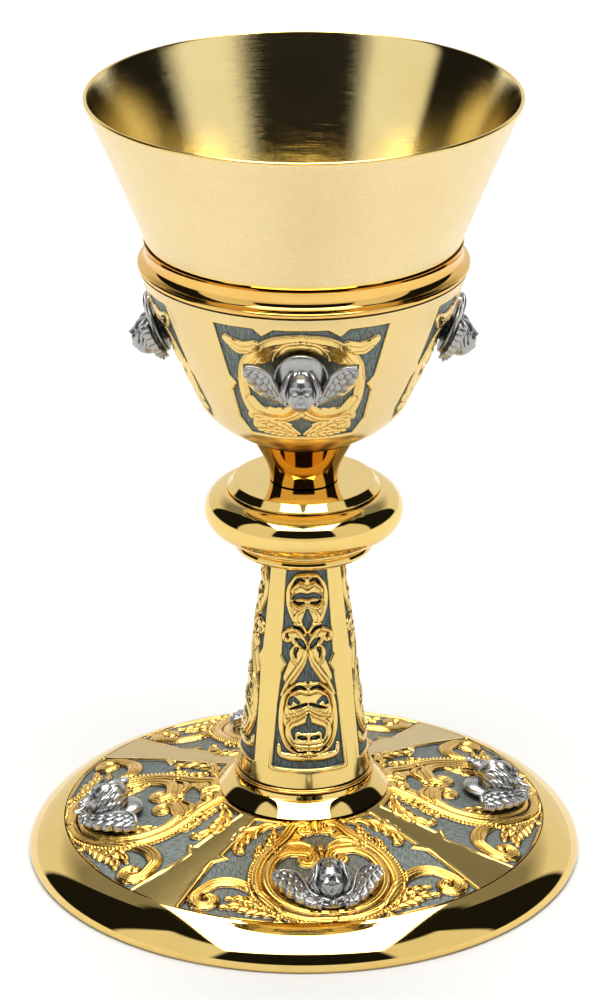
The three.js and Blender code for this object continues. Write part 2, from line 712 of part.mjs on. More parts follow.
// Adds the castings of one row of panels and the nuts that hold them from inside.
function addCherubs(name, turn, wall, frameAt) {
  const casting = geometryOf(cherubSolid(wall));
  const nutTop = -wall - GAP;
  const nut = hexNut(PIN_NUT_WALL, PIN_RADIUS + GAP, nutTop - PIN_NUT_HEIGHT, nutTop);
  panelAzimuths(turn).forEach((azimuth, i) => {
    const frame = frameAt(azimuth);
    addPiece(`${name}_cherub_${i + 1}`, casting, "antiqueSilver").applyMatrix4(frame);
    addPiece(`${name}_cherub_nut_${i + 1}`, nut, "steel").applyMatrix4(frame);
  });
}

addCherubs("calyx", CALYX_TURN, CALYX_WALL, calyxCherubFrame);
addCherubs("foot", FOOT_TURN, FOOT_WALL, footCherubFrame);

export default chalice;
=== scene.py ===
"""A parcel-gilt communion chalice with cherub castings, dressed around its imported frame.

Lengths are in millimetres until a mesh is written, and the axis of the chalice is Z. An azimuth of 0
faces -Y and grows towards +X, so a point at radius r is (r sin a, -r cos a, z).
"""

from __future__ import annotations

import logging
import math
from dataclasses import dataclass, field
from enum import Enum
from typing import Callable, Sequence

import bpy
import numpy as np
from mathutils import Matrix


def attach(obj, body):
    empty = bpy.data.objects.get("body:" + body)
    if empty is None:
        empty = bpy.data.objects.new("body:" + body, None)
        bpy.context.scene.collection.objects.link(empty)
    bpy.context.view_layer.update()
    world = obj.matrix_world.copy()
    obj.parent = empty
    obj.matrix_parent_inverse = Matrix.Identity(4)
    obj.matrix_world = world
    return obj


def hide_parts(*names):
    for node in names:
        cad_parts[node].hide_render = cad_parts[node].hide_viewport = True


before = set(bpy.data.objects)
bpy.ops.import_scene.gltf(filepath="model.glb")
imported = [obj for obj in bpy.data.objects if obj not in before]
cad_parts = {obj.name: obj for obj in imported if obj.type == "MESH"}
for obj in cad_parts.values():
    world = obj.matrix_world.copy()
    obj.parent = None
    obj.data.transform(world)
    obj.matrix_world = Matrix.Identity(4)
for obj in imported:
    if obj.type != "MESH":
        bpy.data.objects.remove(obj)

MM = 0.001
QUARTERS = 4
QUARTER = 90
# How far the foot's dome falls for each millimetre outwards.
DOME_SLOPE = 7.8 / 39.2
LOG = logging.getLogger("chalice")

Rgb = tuple[float, float, float]
Widths = tuple[float, float, float]
Point2 = tuple[float, float]
Socket = bpy.types.NodeSocket
# Keeps a length of 0 from being divided by.
TINY = 1e-12
# A point nearer to the axis than this, in millimetres, lies on it.
ON_AXIS = 1e-6


class Body(Enum):
    """The bodies of the frame that the dressed pieces move with."""

    STAND = "stand"
    CUP = "cup"


class Slot(Enum):
    """The record's material slots that the dressed pieces stand for."""

    BRUSHED_GOLD = "brushed_gold"
    SATIN_GOLD = "satin_gold"
    POLISHED_GOLD = "polished_gold"
    ANTIQUE_SILVER = "antique_silver"


class Section(Enum):
    """The cross-section that a chased stroke is given."""

    ROUND = "round"
    FLUTED = "fluted"
    LEAF = "leaf"
    BEADS = "beads"
    PLATE = "plate"
    SLOT = "slot"


# ------------------------------------------------------------------------------------------ shells


@dataclass
class Shell:
    """A closed surface: its points, its faces in groups of one size, and a value per point for each tag.

    Attributes:
        points: Positions in millimetres, one row each.
        faces: Index arrays, each with one row per face.
        zones: The material number of each group in faces.
        tags: Named values per point, scalars or vectors.
    """

    points: np.ndarray
    faces: list[np.ndarray]
    zones: list[int] = field(default_factory=list)
    tags: dict[str, np.ndarray] = field(default_factory=dict)

    def volume(self) -> float:
        """Signed volume: a sixth of the sum of the triple products of each face's fan of triangles."""
        total = 0.0
        for group in self.faces:
            first = self.points[group[:, 0]]
            for k in range(1, group.shape[1] - 1):
                second, third = self.points[group[:, k]], self.points[group[:, k + 1]]
                total += float(np.einsum("ij,ij->", first, np.cross(second, third))) / 6
        return total

    def outward(self) -> Shell:
        """The same shell with its faces turned so that they point outwards."""
        if self.volume() < 0:
            self.faces = [group[:, ::-1] for group in self.faces]
        return self


def merged(shells: Sequence[Shell]) -> Shell:
    """Puts several closed shells with the same tags into one.

    Args:
        shells: The shells, each already facing outwards.

    Returns:
        One shell that holds them all.
    """
    starts = np.cumsum([0] + [len(s.points) for s in shells])
    faces = [group + start for s, start in zip(shells, starts) for group in s.faces]
    zones = [zone for s in shells for zone in (s.zones or [0] * len(s.faces))]
    shared = set.intersection(*(set(s.tags) for s in shells))
    tags = {name: np.concatenate([s.tags[name] for s in shells]) for name in sorted(shared)}
    return Shell(np.concatenate([s.points for s in shells]), faces, zones, tags)


def grid_quads(columns: int, rows: int, wrap_columns: bool, wrap_rows: bool) -> np.ndarray:
    """Quads of a grid whose point (i, j) is number i * rows + j.

    Args:
        columns: Number of points along the first parameter.
        rows: Number of points along the second parameter.
        wrap_columns: Whether the last column joins the first.
        wrap_rows: Whether the last row joins the first.

    Returns:
        One row of four indices per quad.
    """
    i = np.arange(columns if wrap_columns else columns - 1)[:, None]
    j = np.arange(rows if wrap_rows else rows - 1)[None, :]
    i2, j2 = (i + 1) % columns, (j + 1) % rows
    corners = [i * rows + j, i2 * rows + j, i2 * rows + j2, i * rows + j2]
    return np.stack([np.broadcast_to(c, (i.size, j.size)).ravel() for c in corners], axis=1)


def ring_steps(count: int) -> tuple[np.ndarray, np.ndarray]:
    """The numbers of a ring's points, and of the point that follows each."""
    here = np.arange(count)
    return here, (here + 1) % count


def fan(pole: int, first: np.ndarray, second: np.ndarray) -> np.ndarray:
    """Triangles from a pole to the two ends of each step."""
    return np.stack([np.full(len(first), pole), first, second], axis=1)


def run_along(line: np.ndarray) -> np.ndarray:
    """The way run up to each point of a line."""
    return np.concatenate([[0], np.cumsum(np.hypot(*np.diff(line, axis=0).T))])


def headings(line: np.ndarray) -> np.ndarray:
    """The unit direction of a line of two coordinates at each of its points."""
    along = np.gradient(line, axis=0)
    return along / np.hypot(*along.T)[:, None]


def lathe(outline: np.ndarray, segments: int, zones: Sequence[int] | None = None) -> Shell:
    """Turns an outline about the axis.

    A point of the outline (r, z) becomes (r sin a, -r cos a, z) at every azimuth a. A closed outline is
    joined back to its start; one that begins and ends on the axis gets a single point at each pole.

    Args:
        outline: Radius and height of each point.
        segments: Number of steps round the axis.
        zones: Material number of each step of the outline, or None for all 0.

    Returns:
        The closed shell, tagged with "lay": the cosine and sine of the azimuth and the way run in mm.
    """
    turn = np.arange(segments) * (2 * np.pi / segments)
    run = run_along(outline)
    to_axis = max(outline[0, 0], outline[-1, 0]) < ON_AXIS
    body = outline[1:-1] if to_axis else outline
    way = run[1:-1] if to_axis else run
    rows = len(body)
    around, radius = np.meshgrid(turn, body[:, 0], indexing="ij")
    height = np.broadcast_to(body[:, 1], around.shape)
    points = np.stack([radius * np.sin(around), -radius * np.cos(around), height], axis=-1).reshape(-1, 3)
    lay = np.stack([np.cos(around), np.sin(around), np.broadcast_to(way, around.shape)], axis=-1)
    lay = lay.reshape(-1, 3)
    quads = grid_quads(segments, rows, True, not to_axis)
    steps = np.tile(np.arange(rows - 1 if to_axis else rows), segments)
    labels = np.zeros(rows, int) if zones is None else np.asarray(zones, int)[: len(outline)]
    if to_axis and zones is not None:
        labels = labels[1:]
    faces, numbers = [], []
    for zone in sorted(set(labels[steps].tolist())):
        faces.append(quads[labels[steps] == zone])
        numbers.append(zone)
    if to_axis:
        low, high = len(points), len(points) + 1
        poles = np.array([[0, 0, outline[0, 1]], [0, 0, outline[-1, 1]]])
        points = np.concatenate([points, poles])
        lay = np.concatenate([lay, [[0, 0, run[0]], [0, 0, run[-1]]]])
        here, there = ring_steps(segments)
        last = rows - 1
        faces.append(fan(low, there * rows, here * rows))
        faces.append(fan(high, here * rows + last, there * rows + last))
        numbers += [int(labels[0]), int(labels[-1])]
    return Shell(points, faces, numbers, {"lay": lay}).outward()


def sector(outer: np.ndarray, inner: np.ndarray, tags: dict[str, np.ndarray]) -> Shell:
    """A slice of a wall: a fine outer grid and a coarse inner one with the same columns, closed all round.

    Args:
        outer: Points by column and row, columns running with the azimuth and rows upwards.
        inner: Points of the hidden side in the same order.
        tags: Values on the outer grid, repeated as 0 on the inner one.

    Returns:
        The closed shell.
    """
    columns, rows = outer.shape[:2]
    under = inner.shape[1]
    base = columns * rows
    skin = grid_quads(columns, rows, False, False)
    back = grid_quads(columns, under, False, False)[:, ::-1] + base
    i = np.arange(columns - 1)
    low = np.stack([(i + 1) * rows, i * rows, base + i * under, base + (i + 1) * under], axis=1)
    top, deep = rows - 1, under - 1
    high = np.stack([low[:, 1] + top, low[:, 0] + top, low[:, 3] + deep, low[:, 2] + deep], axis=1)
    last = columns - 1
    left = np.concatenate([np.arange(rows), base + np.arange(under)[::-1]])[None]
    right = np.concatenate([last * rows + np.arange(rows)[::-1], base + last * under + np.arange(under)])
    right = right[None]
    points = np.concatenate([outer.reshape(-1, 3), inner.reshape(-1, 3)])
    full = {}
    for name, value in tags.items():
        flat = value.reshape(base, -1)
        full[name] = np.concatenate([flat, np.zeros((columns * under, flat.shape[1]))]).squeeze()
    return Shell(points, [skin, back, low, high, left, right], [0] * 6, full).outward()


def sweep(
    path: np.ndarray, widths: np.ndarray, depths: np.ndarray, facing: np.ndarray, sides: int
) -> Shell:
    """Carries an ellipse along a path: centre + cos t * width * side + sin t * depth * front.

    Args:
        path: Points of the centre line.
        widths: Half width at each point.
        depths: Half depth at each point.
        facing: The direction that the flat side faces, for all points or one each.
        sides: Points round the ellipse.

    Returns:
        A shell closed by a pole at each end.
    """
    along = np.gradient(path, axis=0)
    along /= np.linalg.norm(along, axis=1, keepdims=True) + TINY
    front = np.broadcast_to(facing, path.shape) - along * np.sum(along * facing, axis=1, keepdims=True)
    front = front / (np.linalg.norm(front, axis=1, keepdims=True) + TINY)
    side = np.cross(along, front)
    angle = np.arange(sides) * (2 * np.pi / sides)
    ring = (
        np.cos(angle)[None, :, None] * (widths[:, None] * side)[:, None, :]
        + np.sin(angle)[None, :, None] * (depths[:, None] * front)[:, None, :]
    )
    count = len(path)
    points = np.concatenate([(path[:, None, :] + ring).reshape(-1, 3), path[:1], path[-1:]])
    quads = grid_quads(count, sides, False, True)
    here, there = ring_steps(sides)
    start, end = count * sides, count * sides + 1
    last = (count - 1) * sides
    caps = [fan(start, there, here), fan(end, last + here, last + there)]
    return Shell(points, [quads[:, ::-1], *caps], [0, 0, 0]).outward()


def globe(
    radii: Sequence[float], centre: Sequence[float], columns: int, rows: int
) -> tuple[Shell, np.ndarray]:
    """An ellipsoid on a grid of longitude and latitude, with the poles on its second axis.

    Args:
        radii: Half sizes along right, rise and out.
        centre: Its middle.
        columns: Points round the pole axis.
        rows: Points from pole to pole, without the poles.

    Returns:
        The closed shell, and the unit direction of each of its points.
    """
    around = np.arange(columns) * (2 * np.pi / columns)
    up = (np.arange(rows) + 1) * (np.pi / (rows + 1)) - np.pi / 2
    lon, lat = np.meshgrid(around, up, indexing="ij")
    way = np.stack([np.sin(lon) * np.cos(lat), np.sin(lat), np.cos(lon) * np.cos(lat)], axis=-1)
    way = np.concatenate([way.reshape(-1, 3), [[0, -1, 0], [0, 1, 0]]])
    here, there = ring_steps(columns)
    low, high, last = columns * rows, columns * rows + 1, rows - 1
    faces = [
        grid_quads(columns, rows, True, False),
        fan(low, there * rows, here * rows),
        fan(high, here * rows + last, there * rows + last),
    ]
    return Shell(way * np.asarray(radii) + np.asarray(centre), faces, [0, 0, 0]).outward(), way


# ---------------------------------------------------------------------------------------- outlines


def subdivided(outline: np.ndarray, reach: float, closed: bool = True) -> np.ndarray:
    """Splits the long steps of an outline, with an extra point close to each end to hold the shading.

    Args:
        outline: Radius and height of each point.
        reach: Longest step in mm.
        closed: Whether the last point joins the first.

    Returns:
        The finer outline.
    """
    long_step, hold = 0.8, 0.12
    follow = np.roll(outline, -1, axis=0) if closed else outline[1:]
    parts = []
    for a, b in zip(outline, follow):
        length = float(np.hypot(*(b - a)))
        shares = np.linspace(0, 1, max(1, math.ceil(length / reach)) + 1)[:-1]
        if length > long_step:
            shares = np.unique(np.concatenate([shares, [hold / length, 1 - hold / length]]))
        parts.append(a + shares[:, None] * (b - a))
    if not closed:
        parts.append(outline[-1:])
    return np.concatenate(parts)


def rounded(corners: Sequence[tuple[float, float, float]], steps: int = 9) -> np.ndarray:
    """Turns each corner of a closed outline on an arc that touches both of its sides.

    The arc's centre lies on the corner's bisector, and its points swing evenly from one touch to the other.

    Args:
        corners: Radius, height and arc radius of each corner.
        steps: Points on each arc.

    Returns:
        Radius and height of each point.
    """
    spots = np.array([c[:2] for c in corners], float)
    count = len(corners)
    parts = []
    for k, (*_, radius) in enumerate(corners):
        here = spots[k]
        if radius <= 0:
            parts.append(here[None])
            continue
        back, on = spots[k - 1] - here, spots[(k + 1) % count] - here
        reach = 0.49 * min(np.hypot(*back), np.hypot(*on))
        back, on = back / np.hypot(*back), on / np.hypot(*on)
        half = math.acos(float(np.clip(back @ on, -1, 1))) / 2
        touch = min(radius / math.tan(half), reach)
        centre = here + (back + on) / np.hypot(*(back + on)) * touch / math.cos(half)
        start, end = here + back * touch - centre, here + on * touch - centre
        swing = math.pi - 2 * half
        share = np.linspace(0, 1, steps)[:, None]
        arc = np.sin((1 - share) * swing) * start + np.sin(share * swing) * end
        parts.append(centre + arc / math.sin(swing))
    return np.concatenate(parts)


def bezier(points: Sequence[Point2], count: int) -> np.ndarray:
    """Points on a Bezier curve of degree 2 or 3: the sum of the control points by their Bernstein shares.

    Args:
        points: Three or four control points.
        count: Number of points.

    Returns:
        The points, from the first control point to the last.
    """
    share = np.linspace(0, 1, count)[:, None]
    degree = len(points) - 1
    terms = [
        math.comb(degree, k) * share**k * (1 - share) ** (degree - k) * np.asarray(p, float)
        for k, p in enumerate(points)
    ]
    return sum(terms)


def arc(r: float, z: float, radius: float, start: float, end: float, count: int) -> np.ndarray:
    """Points on a circle of an outline, from one angle to another in degrees above the outward way."""
    angle = np.radians(np.linspace(start, end, count))
    return np.stack([r + radius * np.cos(angle), z + radius * np.sin(angle)], axis=1)


def offset_inward(outline: np.ndarray, wall: float) -> np.ndarray:
    """The outline moved to the left of its own direction by a wall's thickness."""
    along = headings(outline)
    return outline + wall * np.stack([-along[:, 1], along[:, 0]], axis=1)


# ---------------------------------------------------------------------------------------- finishes


class Graph:
    """A short way to lay out the nodes of a material or a world."""

    def __init__(self, name: str, world: bpy.types.World | None = None) -> None:
        """Starts an empty tree: the given world's, or a new material's with a shader and an output.

        Args:
            name: Name of the new material.
            world: The world to lay out instead.
        """
        if world is not None:
            world.use_nodes = True
            self.tree = world.node_tree
            self.tree.nodes.clear()
            return
        self.material = bpy.data.materials.new(name)
        self.material.use_nodes = True
        self.tree = self.material.node_tree
        self.tree.nodes.clear()
        self.shader = self.tree.nodes.new("ShaderNodeBsdfPrincipled")
        out = self.tree.nodes.new("ShaderNodeOutputMaterial")
        self.tree.links.new(self.shader.outputs[0], out.inputs[0])

    def put(self, kind: str, settings: dict | None = None, inputs: dict | None = None) -> bpy.types.Node:
        """Adds a node.

        Args:
            kind: Blender's name of the node type.
            settings: Its own properties.
            inputs: A value or another node's output for each named or numbered input.

        Returns:
            The node.
        """
        node = self.tree.nodes.new(kind)
        for key, value in (settings or {}).items():
            setattr(node, key, value)
        for key, value in (inputs or {}).items():
            self.feed(node.inputs[key], value)
        return node

    def feed(self, socket: Socket, value: object) -> None:
        """Links another node's output to an input, or sets the input to a value."""
        if isinstance(value, Socket):
            self.tree.links.new(value, socket)
        else:
            socket.default_value = value

    def place(
        self, scale: Sequence[float] = (1, 1, 1), turn: Sequence[float] = (0, 0, 0), tag: str = ""
    ) -> Socket:
        """Coordinates to pattern from.

        Args:
            scale: Factor along each axis.
            turn: Rotation in degrees about each axis.
            tag: A named value of the points, or nothing for the object's own place.

        Returns:
            The scaled coordinates.
        """
        if tag:
            source = self.put("ShaderNodeAttribute", {"attribute_name": tag}).outputs["Vector"]
        else:
            source = self.put("ShaderNodeTexCoord").outputs["Object"]
        inputs = {"Vector": source, "Scale": tuple(scale), "Rotation": tuple(math.radians(t) for t in turn)}
        return self.put("ShaderNodeMapping", None, inputs).outputs[0]

    def tag(self, name: str) -> Socket:
        """A named value of the points."""
        return self.put("ShaderNodeAttribute", {"attribute_name": name}).outputs["Fac"]

    def noise(self, where: Socket, size: float, detail: float = 3, rough: float = 0.5) -> Socket:
        """Noise from 0 to 1 at a place."""
        inputs = {"Vector": where, "Scale": size, "Detail": detail, "Roughness": rough}
        return self.put("ShaderNodeTexNoise", None, inputs).outputs[0]

    def span(self, value: Socket, a: float, b: float, low: float = 0, high: float = 1) -> Socket:
        """Maps a value's range a to b onto low to high, clamped."""
        inputs = {"Value": value, "From Min": a, "From Max": b, "To Min": low, "To Max": high}
        return self.put("ShaderNodeMapRange", {"clamp": True}, inputs).outputs[0]

    def blend(self, share: Socket, low: object, high: object) -> Socket:
        """Mixes two colours."""
        node = self.put("ShaderNodeMix", {"data_type": "RGBA"})
        for key, value in ((0, share), (6, low), (7, high)):
            self.feed(node.inputs[key], value if isinstance(value, Socket) else (*value, 1))
        return node.outputs[2]

    def mix(self, share: Socket, low: object, high: object) -> Socket:
        """Mixes two numbers."""
        return self.put("ShaderNodeMix", {"data_type": "FLOAT"}, {0: share, 2: low, 3: high}).outputs[0]

    def math(self, operation: str, *numbers: object) -> Socket:
        """The result of one of Blender's operations on numbers."""
        return self.put("ShaderNodeMath", {"operation": operation}, dict(enumerate(numbers))).outputs[0]

    def times(self, a: Socket, b: object) -> Socket:
        """Multiplies two numbers."""
        return self.math("MULTIPLY", a, b)

    def plus(self, a: Socket, b: object) -> Socket:
        """Adds two numbers."""
        return self.math("ADD", a, b)

    def bump(self, height: Socket, strength: object, depth: float) -> None:
        """Sends a height to the shader's normal.

        Args:
            height: The height from 0 to 1.
            strength: How strongly it shows.
            depth: The size of one unit in metres.
        """
        node = self.put("ShaderNodeBump", None, {"Height": height, "Distance": depth, "Strength": strength})
        self.wire("Normal", node.outputs[0])

    def wire(self, socket: str, value: object) -> None:
        """Links or sets one of the shader's inputs."""
        self.feed(self.shader.inputs[socket], value)


@dataclass(frozen=True)
class Gilding:
    """Gold plate: polished, or drawn round the lathe with fine lines.

    Attributes:
        name: The material's name.
        light: Colour of the metal.
        deep: Its colour where the plate is thicker or toned.
        rough: Roughness of the fresh surface.
        wear: How much roughness the hairlines and finger marks add.
        lines: Strength of the lathe lines, 0 for none.
        stretch: How much the reflections spread across the lines.
    """

    name: str
    light: Rgb
    deep: Rgb
    rough: float
    wear: float
    lines: float = 0.0
    stretch: float = 0.0

    def material(self) -> bpy.types.Material:
        """Toned, cloudy metal with fine scratches and, if drawn, lines that run round the axis."""
        g = Graph(self.name)
        cloud = g.noise(g.place(), 38, 4, 0.6)
        g.wire("Base Color", g.blend(g.span(cloud, 0.3, 0.75), self.light, self.deep))
        g.wire("Metallic", 1.0)
        marks = g.noise(g.place((1, 1, 0.35), (25, 10, 40)), 900, 5, 0.7)
        rough = g.span(marks, 0.35, 0.85, self.rough, self.rough + self.wear)
        if self.lines > 0:
            lay = g.place((1.1, 1.1, 9.0), tag="lay")
            fine = g.noise(lay, 1.6, 6, 0.75)
            broad = g.noise(g.place((2.4, 2.4, 1.3), tag="lay"), 1.0, 3, 0.6)
            rough = g.plus(rough, g.span(fine, 0.3, 0.8, -0.03, 0.09))
            g.bump(g.plus(g.times(fine, 0.8), g.times(broad, 0.2)), self.lines, 0.00012)
        else:
            g.bump(marks, 0.02, 0.00002)
        g.wire("Roughness", rough)
        if self.stretch > 0:
            g.wire("Anisotropic", self.stretch)
            g.wire("Anisotropic Rotation", 0.25)
            turn = g.put("ShaderNodeTangent", {"direction_type": "RADIAL", "axis": "Z"})
            g.wire("Tangent", turn.outputs[0])
        return g.material


@dataclass(frozen=True)
class ParcelGilding:
    """Chased work: gilt ornament and bands over an oxidised silver ground.

    SILVER_ROUGH is the ground's roughness, SCUFF_SHARE how much of its bump the gold's scuffs get, and
    the crease colour the painted shade that the silver ground takes in its hollows.

    Attributes:
        name: The material's name.
        light: Colour of the gold on its high parts.
        deep: Colour of the gold down in the creases, a painted shade.
        band: Colour of the plain gold between the panels.
        rough: Roughness of the ornament.
        band_rough: Roughness of the plain gold.
        ground: Dark and light of the oxidised silver.
        hatch: Lines of the ground's hatching, in strokes for each millimetre.
    """

    name: str
    light: Rgb
    deep: Rgb
    band: Rgb
    rough: float
    band_rough: float
    ground: tuple[Rgb, Rgb]
    hatch: float

    SILVER_ROUGH = 0.46
    SCUFF_SHARE = 0.004
    # Near black painted shade for the silver ground's hollows.
    CREASE_SHADE = (0.01, 0.012, 0.012)

    def material(self) -> bpy.types.Material:
        """Two metals parted at the zero of the edge value, both darkened by the hollow value as painted
        shade.
        """
        g = Graph(self.name)
        edge = g.tag("edge")
        hollow = g.tag("hollow")
        plain = g.tag("plain")
        gilt = g.span(edge, -0.05, 0.05)
        cloud = g.noise(g.place(), 60, 4, 0.6)
        tone = g.blend(g.span(cloud, 0.3, 0.75), self.light, tuple(0.88 * c for c in self.light))
        # Painted shade: the gold turns to the deep colour in the relief's hollows.
        chased = g.blend(g.span(hollow, 0.0, 0.2), tone, self.deep)
        flat = g.blend(g.span(cloud, 0.3, 0.75), self.band, tuple(0.92 * c for c in self.band))
        gold = g.blend(plain, chased, flat)
        lines = g.noise(g.place((self.hatch, self.hatch * 0.16, 1), (0, 0, 28), "plan"), 1.0, 3, 0.65)
        grain = g.noise(g.place(tag="plan"), 5.0, 3, 0.6)
        weave = g.plus(g.times(lines, 0.65), g.times(grain, 0.35))
        silver = g.blend(g.span(weave, 0.38, 0.66), *self.ground)
        # Painted shade: the silver ground goes near black in the relief's hollows.
        silver = g.blend(g.span(hollow, 0.02, 0.3), silver, self.CREASE_SHADE)
        g.wire("Base Color", g.blend(gilt, silver, gold))
        g.wire("Metallic", 1.0)
        scuff = g.noise(g.place((1, 1, 0.4), (30, 0, 20)), 700, 4, 0.7)
        gold_rough = g.plus(g.mix(plain, self.rough, self.band_rough), g.span(scuff, 0.3, 0.8, -0.01, 0.02))
        g.wire("Roughness", g.mix(gilt, self.SILVER_ROUGH, gold_rough))
        relief = g.mix(gilt, weave, g.times(scuff, self.SCUFF_SHARE))
        g.bump(relief, 0.55, 0.00022)
        return g.material


@dataclass(frozen=True)
class AntiqueSilver:
    """Cast silver, dark in its recesses from oxide and painted shade, and rubbed bright on its high parts.
    """

    name: str = "antique silver"
    bright: Rgb = (0.40, 0.40, 0.39)
    # The middle and dark colours fill the recesses: oxide and painted shade.
    middle: Rgb = (0.15, 0.153, 0.15)
    dark: Rgb = (0.018, 0.02, 0.022)

    def material(self) -> bpy.types.Material:
        """Bright to dark by the hollow value, which puts oxide and painted shade into the recesses, with a
        little cloudy tarnish.
        """
        g = Graph(self.name)
        hollow = g.tag("hollow")
        cloud = g.noise(g.place(), 420, 4, 0.65)
        depth = g.plus(hollow, g.span(cloud, 0.25, 0.8, -0.05, 0.07))
        rubbed = g.blend(g.span(depth, -0.03, 0.12), self.bright, self.middle)
        # Oxide and painted shade: near black in the deepest recesses.
        g.wire("Base Color", g.blend(g.span(depth, 0.06, 0.24), rubbed, self.dark))
        g.wire("Metallic", 1.0)
        g.wire("Roughness", g.span(depth, 0, 0.4, 0.27, 0.5))
        g.bump(g.noise(g.place(), 1500, 3, 0.6), 0.18, 0.00012)
        return g.material


@dataclass(frozen=True)
class Plain:
    """A fixing's stuff: bare steel or a leather washer."""

    name: str
    light: Rgb
    dark: Rgb
    metallic: float
    rough: float
    grain: float

    def material(self) -> bpy.types.Material:
        """Mottled colour and roughness with a fine bump of its own grain."""
        g = Graph(self.name)
        cloud = g.noise(g.place(), self.grain, 5, 0.7)
        g.wire("Base Color", g.blend(g.span(cloud, 0.3, 0.7), self.light, self.dark))
        g.wire("Metallic", self.metallic)
        g.wire("Roughness", g.span(cloud, 0.2, 0.8, self.rough, self.rough + 0.2))
        g.bump(g.noise(g.place((1, 1, 0.2)), self.grain * 4, 3, 0.6), 0.25, 0.00015)
        return g.material


BRUSHED = Gilding("brushed gold", (0.92, 0.75, 0.36), (0.86, 0.67, 0.28), 0.05, 0.03, 0.19, 0.85)
SATIN = Gilding("satin gold", (0.83, 0.67, 0.36), (0.79, 0.61, 0.31), 0.26, 0.04, 0.12, 0.5)
POLISHED = Gilding("polished gold", (0.86, 0.63, 0.22), (0.81, 0.56, 0.17), 0.025, 0.03)
WARM = Gilding("warm polished gold", (0.86, 0.55, 0.16), (0.78, 0.45, 0.10), 0.04, 0.04)
# The second colour of each parcel gilt finish is the painted shade of the gold's creases.
BOWL_WORK = ParcelGilding(
    "parcel gilt bowl", (0.88, 0.64, 0.23), (0.56, 0.23, 0.02), (0.80, 0.60, 0.27), 0.20, 0.24,
    ((0.05, 0.063, 0.056), (0.29, 0.33, 0.30)), 3.0,
)
STEM_WORK = ParcelGilding(
    "parcel gilt stem", (0.86, 0.63, 0.21), (0.45, 0.19, 0.02), (0.80, 0.59, 0.20), 0.17, 0.12,
    ((0.03, 0.04, 0.038), (0.20, 0.235, 0.22)), 3.0,
)
FOOT_WORK = ParcelGilding(
    "parcel gilt foot", (0.84, 0.52, 0.115), (0.30, 0.10, 0.008), (0.62, 0.45, 0.15), 0.22, 0.13,
    ((0.055, 0.068, 0.062), (0.31, 0.35, 0.32)), 3.2,
)
CAST_SILVER = AntiqueSilver()
STEEL = Plain("bare steel", (0.60, 0.60, 0.61), (0.42, 0.42, 0.43), 1.0, 0.28, 900)
LEATHER = Plain("leather", (0.17, 0.09, 0.05), (0.08, 0.04, 0.025), 0.0, 0.55, 1300)

Finish = Gilding | ParcelGilding | AntiqueSilver | Plain
_MADE: dict[str, bpy.types.Material] = {}


def dressed(finish: Finish) -> bpy.types.Material:
    """The finish's material, made once."""
    if finish.name not in _MADE:
        _MADE[finish.name] = finish.material()
    return _MADE[finish.name]


# ------------------------------------------------------------------------------------ pieces


def put_piece(
    name: str,
    shell: Shell,
    finishes: Sequence[Finish],
    body: Body,
    nodes: Sequence[str],
    crease: float = 80,
) -> bpy.types.Object:
    """Writes a shell to a mesh in metres and hands it to the frame.

    Args:
        name: The piece's name.
        shell: Its surface.
        finishes: A finish for each zone of the shell.
        body: What it moves with.
        nodes: The CAD nodes that it replaces.
        crease: Edges sharper than this many degrees stay sharp.

    Returns:
        The new object.
    """
    mesh = bpy.data.meshes.new(name)
    mesh.vertices.add(len(shell.points))
    mesh.vertices.foreach_set("co", (shell.points * MM).astype(np.float32).ravel())
    corners = np.concatenate([group.ravel() for group in shell.faces]).astype(np.int32)
    sizes = np.concatenate([np.full(len(group), group.shape[1]) for group in shell.faces])
    mesh.loops.add(len(corners))
    mesh.loops.foreach_set("vertex_index", corners)
    mesh.polygons.add(len(sizes))
    starts = np.concatenate([[0], np.cumsum(sizes)[:-1]]).astype(np.int32)
    mesh.polygons.foreach_set("loop_start", starts)
    zones = shell.zones or [0] * len(shell.faces)
    numbers = np.concatenate([np.full(len(g), z) for g, z in zip(shell.faces, zones)]).astype(np.int32)
    mesh.polygons.foreach_set("material_index", numbers)
    mesh.update(calc_edges=True)
    mesh.validate()
    mesh.shade_smooth()
    mesh.set_sharp_from_angle(angle=math.radians(crease))
    for tag, value in shell.tags.items():
        if value.ndim == 2:
            layer = mesh.attributes.new(tag, "FLOAT_VECTOR", "POINT")
            layer.data.foreach_set("vector", value.astype(np.float32).ravel())
        else:
            layer = mesh.attributes.new(tag, "FLOAT", "POINT")
            layer.data.foreach_set("value", value.astype(np.float32))
    for finish in finishes:
        mesh.materials.append(dressed(finish))
    piece = bpy.data.objects.new(name, mesh)
    bpy.context.scene.collection.objects.link(piece)
    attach(piece, body.value)
    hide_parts(*nodes)
    LOG.info("%s: %d points, %d faces", name, len(shell.points), len(sizes))
    return piece


